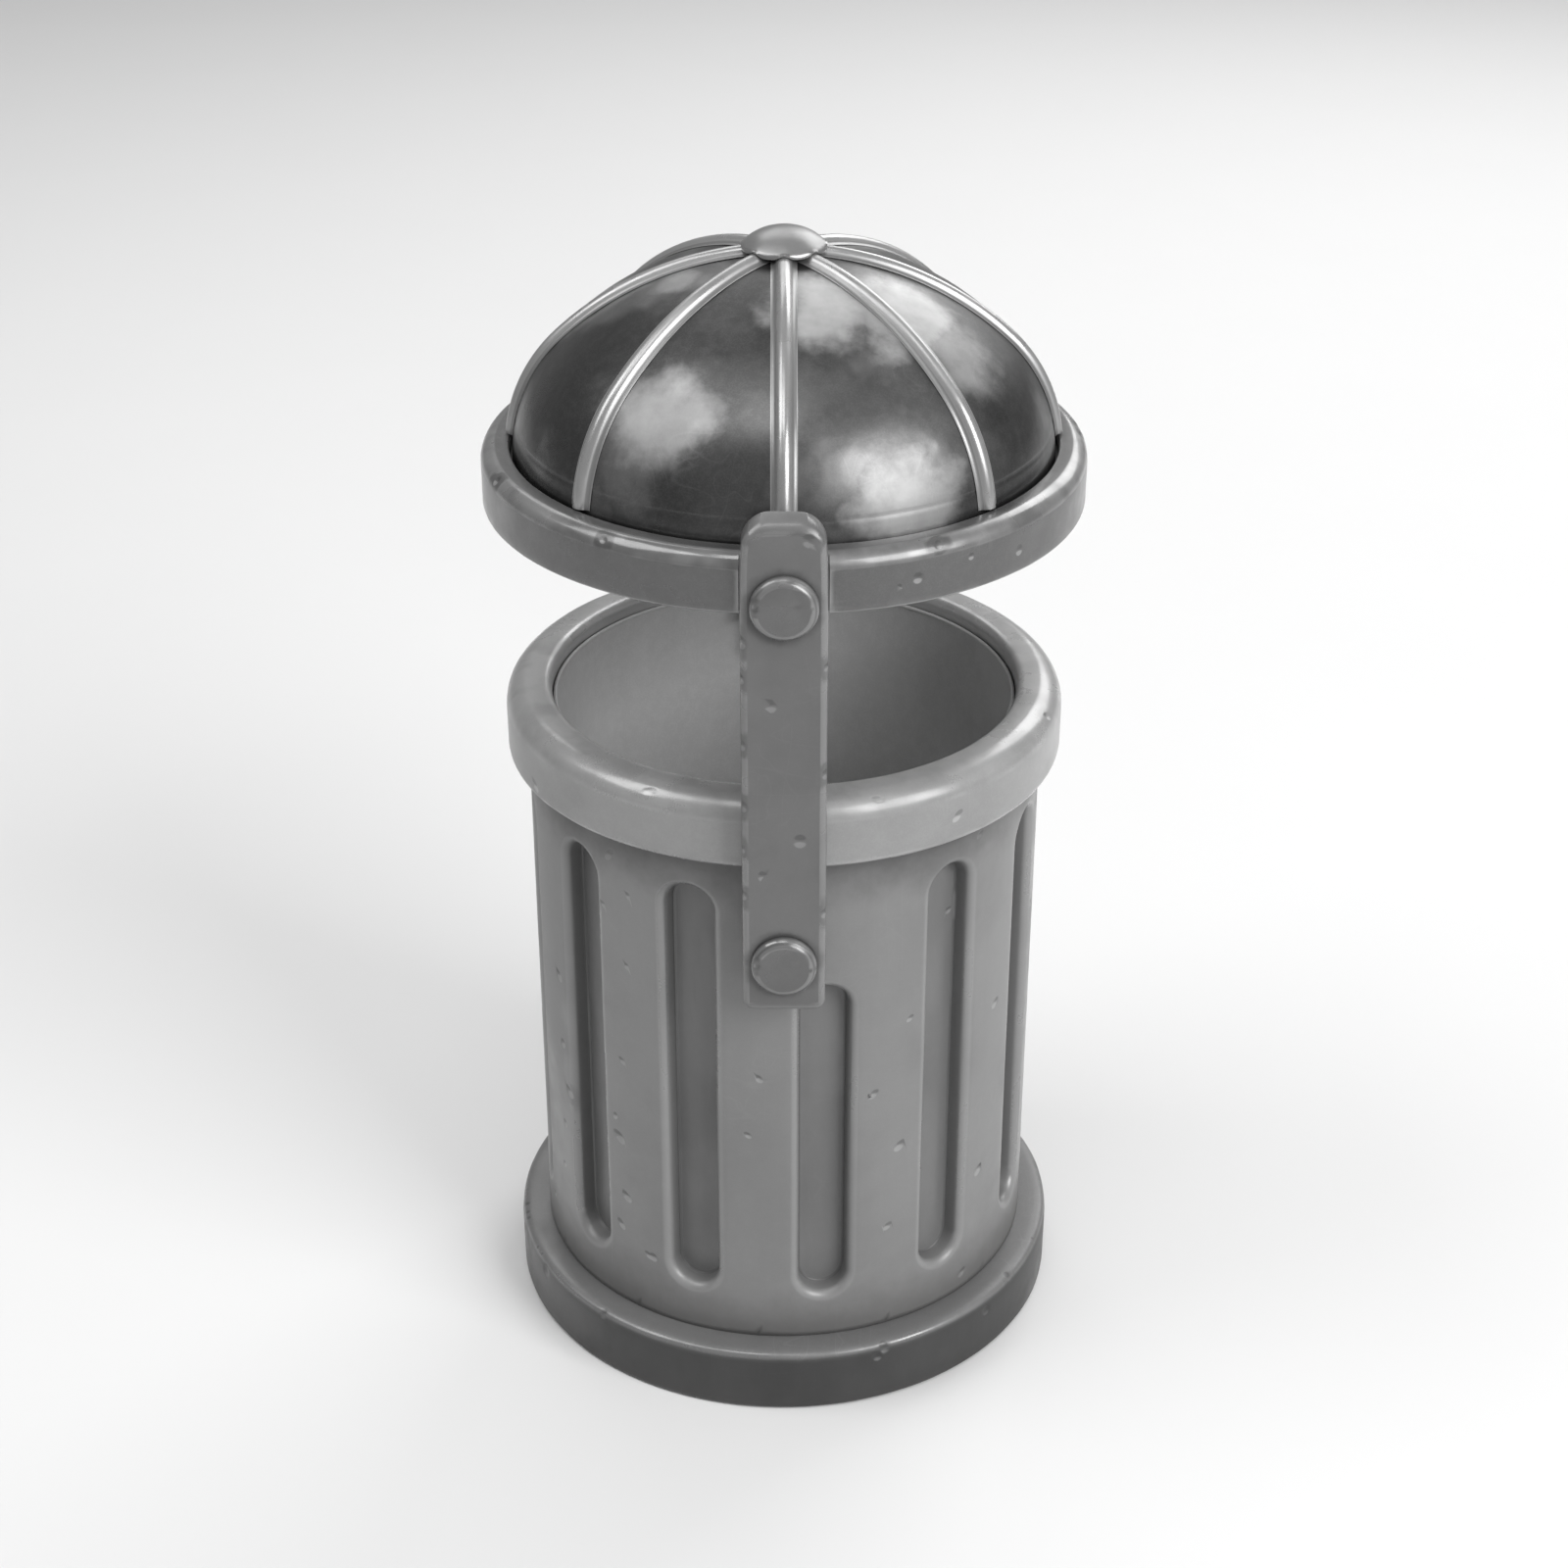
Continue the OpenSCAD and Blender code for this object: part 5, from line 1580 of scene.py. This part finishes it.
@dataclass
class Dome:
    """Domed sheet of the hood, its eight ribs and the cap over them."""

    r: float = 0.267
    foot: float = 0.966
    skirt: float = 0.002
    knuckle_r: float = 0.161
    crown_r: float = 0.316
    wall: float = 0.0025
    flange_w: float = 0.022
    hem_z: float = 1.0035
    hem_half: float = 0.0016
    hem_depth: float = 0.0004
    rib_start_z: float = 0.986
    rib_count: int = 8
    rib_proud: float = 0.0078
    rib_round: float = 0.0080
    rib_flank: float = 0.0060
    rib_end_r: float = 0.030
    cap_r: float = 0.0415
    cap_flat_r: float = 0.02
    cap_rim: float = 1.1781
    cap_top: float = 1.19407
    # Painted reflections: azimuth, height angle, radius in metres and strength
    sheen_places: tuple[tuple[float, ...], ...] = (
        (-31.0, 42.0, 0.058, 0.42), (-34.0, 29.0, 0.046, 0.17), (-10.0, 44.0, 0.110, 0.06),
        (23.0, 25.0, 0.060, 0.08), (26.0, 44.0, 0.110, 0.09), (26.0, 11.0, 0.060, 0.42),
        (53.0, 63.0, 0.060, 0.55), (56.0, 53.0, 0.052, 0.34), (18.0, 69.0, 0.050, 0.6),
        (104.0, 38.0, 0.055, 0.8), (146.0, 58.0, 0.050, 0.7), (168.0, 24.0, 0.050, 0.6),
        (-98.0, 55.0, 0.045, 0.6), (-142.0, 33.0, 0.060, 0.8), (-70.0, 70.0, 0.030, 0.4),
    )
    # Azimuth and height angle, radius and depth in metres, then stretch and slant
    knocks: tuple[tuple[float, ...], ...] = (
        (33.0, 31.0, 0.006, 0.0004, 1.5, 40.0), (-110.0, 35.0, 0.007, 0.0005),
        (160.0, 25.0, 0.006, 0.0005), (115.0, 40.0, 0.006, 0.0004),
    )

    def __post_init__(self) -> None:
        """Find the centres of the shoulder's and the crown's arcs and the angle at which they meet."""
        x, z = self.r - self.knuckle_r, self.foot + self.skirt
        self.shoulder = (x, z)
        self.crown_z = z - sqrt((self.crown_r - self.knuckle_r) ** 2 - x * x)
        self.meet = degrees(atan2(z - self.crown_z, x))

    def on_dome(self, azimuth: float, angle: float) -> Vector:
        """Return the point at an azimuth and at a height angle on the shoulder's or the crown's arc."""
        x, z, r = (*self.shoulder, self.knuckle_r) if angle < self.meet else (0.0, self.crown_z, self.crown_r)
        return on_wall(azimuth, z + r * sin(radians(angle)), x + r * cos(radians(angle)))

    def sheet(self) -> Mesh:
        """Turn the dome's outer surface and work the hem into its foot.

        Returns:
            The outer surface.
        """
        x, z = self.shoulder
        section = Profile(self.r - self.flange_w, self.foot).line(self.r, self.foot, 3).line(self.r, z)
        hem_angle = degrees(asin((self.hem_z + 0.004 - z) / self.knuckle_r))
        section.arc(x, z, hem_angle, 22).arc(x, z, self.meet - hem_angle, 20)
        bm = section.arc(0.0, self.crown_z, 90.0 - self.meet, 26).turned(steps=192)
        for vert in bm.verts:
            off = (vert.co.z - self.hem_z) / self.hem_half
            if abs(off) < 4.0:
                out = Vector((vert.co.x, vert.co.y, 0.0)).normalized()
                vert.co -= out * self.hem_depth * exp(-off * off)
        bm.normal_update()
        if sum(f.normal.z for f in bm.faces) < 0.0:
            bmesh.ops.reverse_faces(bm, faces=bm.faces[:])
        press_dents(bm, [Dent(self.on_dome(a, b), *rest) for a, b, *rest in self.knocks], longest=0.012)
        make_uneven(bm, amount=0.0011, wave=0.06, seed=7.9)
        mark_bends(bm, radius=0.006)
        return bm

    def rib(self, azimuth: float, seed: float) -> Mesh:
        """Bend a rib, a round crown with hollow flanks, along the dome's two arcs.

        Args:
            azimuth: The rib's azimuth.
            seed: Where the unevenness starts.

        Returns:
            The rib's mesh.
        """
        centre = self.rib_proud - self.rib_round
        side = sqrt((self.rib_flank + self.rib_round) ** 2 - (self.rib_flank - centre) ** 2)
        turn = degrees(atan2(side, self.rib_flank - centre))
        section = Profile(0.0, -side).arc(self.rib_flank, -side, -turn, 6)
        section.arc(centre, 0.0, 2.0 * turn, 14).arc(self.rib_flank, side, -turn, 6)
        bm = section.line(-0.0006, side).line(-0.0006, -side, 4).close().bm
        bm.transform(turned_by(-90.0, "X"))
        x, z = self.shoulder
        start = degrees(asin((self.rib_start_z - z) / self.knuckle_r))
        placing = Matrix.Translation((x, 0.0, z)) @ turned_by(-start, "Y")
        bm.transform(placing @ Matrix.Translation((self.knuckle_r, 0.0, 0.0)))
        end = degrees(acos(self.rib_end_r / self.crown_r))
        geom = bend(bm, bm.verts[:] + bm.edges[:], (x, 0.0, z), self.meet - start, 18)
        bend(bm, geom, (0.0, 0.0, self.crown_z), end - self.meet, 24)
        bmesh.ops.holes_fill(bm, edges=[e for e in bm.edges if e.is_boundary], sides=0)
        bmesh.ops.recalc_face_normals(bm, faces=bm.faces[:])
        ends = [e for e in bm.edges if any(len(f.verts) > 8 for f in e.link_faces) and e.verts[0].co.z < 1.05]
        round_edges(bm, ends, 0.0022, 3, clamp=True)
        bm.transform(turned_by(azimuth - 90.0))
        make_uneven(bm, amount=0.0005, wave=0.07, seed=seed)
        mark_bends(bm, radius=0.01)
        return bm

    def cap(self) -> Mesh:
        """Turn the cap and scallop its rim over the ribs.

        Returns:
            The cap's mesh.
        """
        r, rim = self.cap_r, self.cap_rim
        rise = self.cap_top - rim
        sphere = (r ** 2 + rise ** 2) / (2.0 * rise)
        start = degrees(atan2(sphere - rise, r))
        section = Profile(0.0, rim - 0.0048).line(r - 0.006, rim - 0.0048, 4)
        section.line(r - 0.0015, rim - 0.0044, 2).line(r, rim - 0.0030)
        section.line(r, rim - 0.0012).line(r - 0.0012, rim + 0.0012)
        section.arc(0.0, self.cap_top - sphere, 90.0 - start - 1.6, 18)
        section.tip.co = (0.0, 0.0, self.cap_top)
        bm = section.turned(steps=128)
        for vert in bm.verts:
            flat = vert.co.to_2d()
            if flat.length < self.cap_flat_r:
                continue
            rib = 0.5 + 0.5 * cos(self.rib_count * (atan2(flat.y, flat.x) + pi / 2.0))
            share = min(1.0, (flat.length - self.cap_flat_r) / (r - self.cap_flat_r)) ** 2
            lower = vert.co.z < rim - 0.0008
            vert.co.z += share * (0.0034 * rib ** 2 - 0.0012) if lower else -share * 0.0012 * (1.0 - rib)
        make_uneven(bm, amount=0.0006, wave=0.022, seed=9.1)
        mark_bends(bm, radius=0.01)
        return bm

    def make(self) -> None:
        """Build the dome, the ribs and the cap and dress them."""
        obj = thicken(shape_to_object(self.sheet(), "dome_sheet", smooth_angle=50.0), self.wall)
        patches = tuple(Patch(tuple(self.on_dome(a, b)), size, share) for a, b, size, share in self.sheen_places)
        dress(obj, replace(DOME_METAL, patches=patches), Body.HOOD, "dome_shell")
        for k in range(1, self.rib_count + 1):
            obj = shape_to_object(self.rib(45.0 * (k - 1), 2.0 + 1.3 * k), f"dome_rib_{k}")
            dress(obj, RIB_METAL, Body.HOOD, f"rib_{k}")
        dress(shape_to_object(self.cap(), "cap_scalloped"), CAP_METAL, Body.HOOD, "cap")


class SmallParts:
    """CAD nodes whose own shape is right and that only take a finish."""

    finishes: dict[str, Finish] = {
        "floor_plate": FLOOR_STEEL, "rest_pads": RUBBER, "friction_washer": RUBBER,
        "pivot_boss": SHELL_PAINT, "handle": BRIGHT_ROD, "pivot_bush": BRONZE,
    }

    def make(self) -> None:
        """Give each node that is still shown its finish, which is zinc for all but a few."""
        for name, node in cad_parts.items():
            if node.hide_render:
                continue
            finish = self.finishes.get(name.removesuffix("_front").removesuffix("_rear"), ZINC)
            for slot in node.material_slots:
                slot.material = finish.material()
            if not node.material_slots:
                node.data.materials.append(finish.material())
            LOG.info("%s: kept from the frame in %s", name, finish.name)


# Room, light and camera


@dataclass
class Studio:
    """Pale floor, soft lamps and the camera at the photograph's angle."""

    floor_r: float = 60.0
    floor_tone: float = 0.8
    bounce_tone: float = 0.36
    sky: float = 0.32
    lens: float = 65.24
    film_width: float = 36.0
    eye: tuple[float, float, float] = (0.0, -2.6138, 2.0233)
    tilt: float = 61.2924
    target: tuple[float, float, float] = (0.0, 0.0, 0.75)
    reach: float = 6.4
    # Name, azimuth, elevation, width and power
    lamps: tuple[tuple[str, float, float, float, float], ...] = (
        ("left_soft", -80.0, 52.0, 3.6, 128.0), ("back_left", -168.0, 46.0, 3.0, 50.0),
        ("right_key", 47.0, 31.0, 3.6, 315.0), ("back_right", 150.0, 33.0, 3.6, 150.0),
        ("high_soft", -12.0, 72.0, 2.6, 60.0),
    )

    def floor(self) -> None:
        """Lay the pale floor."""
        bm = bmesh.new()
        bmesh.ops.create_circle(bm, cap_ends=True, segments=96, radius=self.floor_r)
        obj = shape_to_object(bm, "studio_floor")
        made = bpy.data.materials.new("pale floor")
        made.use_nodes = True
        w = Wiring(made.node_tree)
        shader = made.node_tree.nodes["Principled BSDF"]
        shader.inputs["Roughness"].default_value = 0.9
        seen = w.node("ShaderNodeLightPath").outputs
        shown = w.math("MAXIMUM", seen["Is Camera Ray"], seen["Is Glossy Ray"])
        shown = w.math("MAXIMUM", shown, seen["Is Transmission Ray"])
        patch = w.noise(w.place(), 3.0, 3.0)
        pale = w.blend(patch, grey(self.floor_tone), grey(self.floor_tone * 0.985))
        w.feed(shader.inputs["Base Color"], w.blend(shown, grey(self.bounce_tone), pale))
        obj.data.materials.append(made)

    def world(self) -> None:
        """Fill the room with plain grey light."""
        world = bpy.data.worlds.new("studio")
        world.use_nodes = True
        back = world.node_tree.nodes["Background"]
        back.inputs["Color"].default_value = grey(1.0)
        back.inputs["Strength"].default_value = self.sky
        bpy.context.scene.world = world

    def lamp(self, name: str, azimuth: float, elevation: float, size: float, power: float) -> None:
        """Hang one soft square lamp that faces the bin.

        Args:
            name: Name of the lamp.
            azimuth: Azimuth from the front towards +X, in degrees.
            elevation: Height above the horizon, in degrees.
            size: Width of its square.
            power: Its power in watts.
        """
        light = bpy.data.lights.new(name, "AREA")
        light.shape, light.size, light.energy = "SQUARE", size, power
        obj = bpy.data.objects.new(name, light)
        bpy.context.scene.collection.objects.link(obj)
        way = on_wall(azimuth, sin(radians(elevation)), cos(radians(elevation)))
        obj.location = Vector(self.target) + way * self.reach
        obj.rotation_euler = way.to_track_quat("Z", "Y").to_euler()

    def camera(self) -> None:
        """Set the camera at the photograph's angle."""
        data = bpy.data.cameras.new("camera")
        data.lens, data.sensor_width = self.lens, self.film_width
        obj = bpy.data.objects.new("camera", data)
        obj.location, obj.rotation_euler = self.eye, (radians(self.tilt), 0.0, 0.0)
        bpy.context.scene.collection.objects.link(obj)
        bpy.context.scene.camera = obj

    def make(self) -> None:
        """Set up the whole studio."""
        bpy.context.scene.view_settings.view_transform = "Standard"
        self.camera()
        self.floor()
        self.world()
        for lamp in self.lamps:
            self.lamp(*lamp)


def main() -> None:
    """Build every sub-assembly in order, logging each new piece's faces and body."""
    logging.basicConfig(level=logging.INFO, format="%(name)s: %(message)s")
    Studio().make()
    for part in (BaseRing(), FlutedShell(), Collar(), Liner(), Arms(), HoodBand(), Dome(), SmallParts()):
        part.make()
        LOG.info("%s is done", type(part).__name__)


if __name__ == "__main__":
    main()
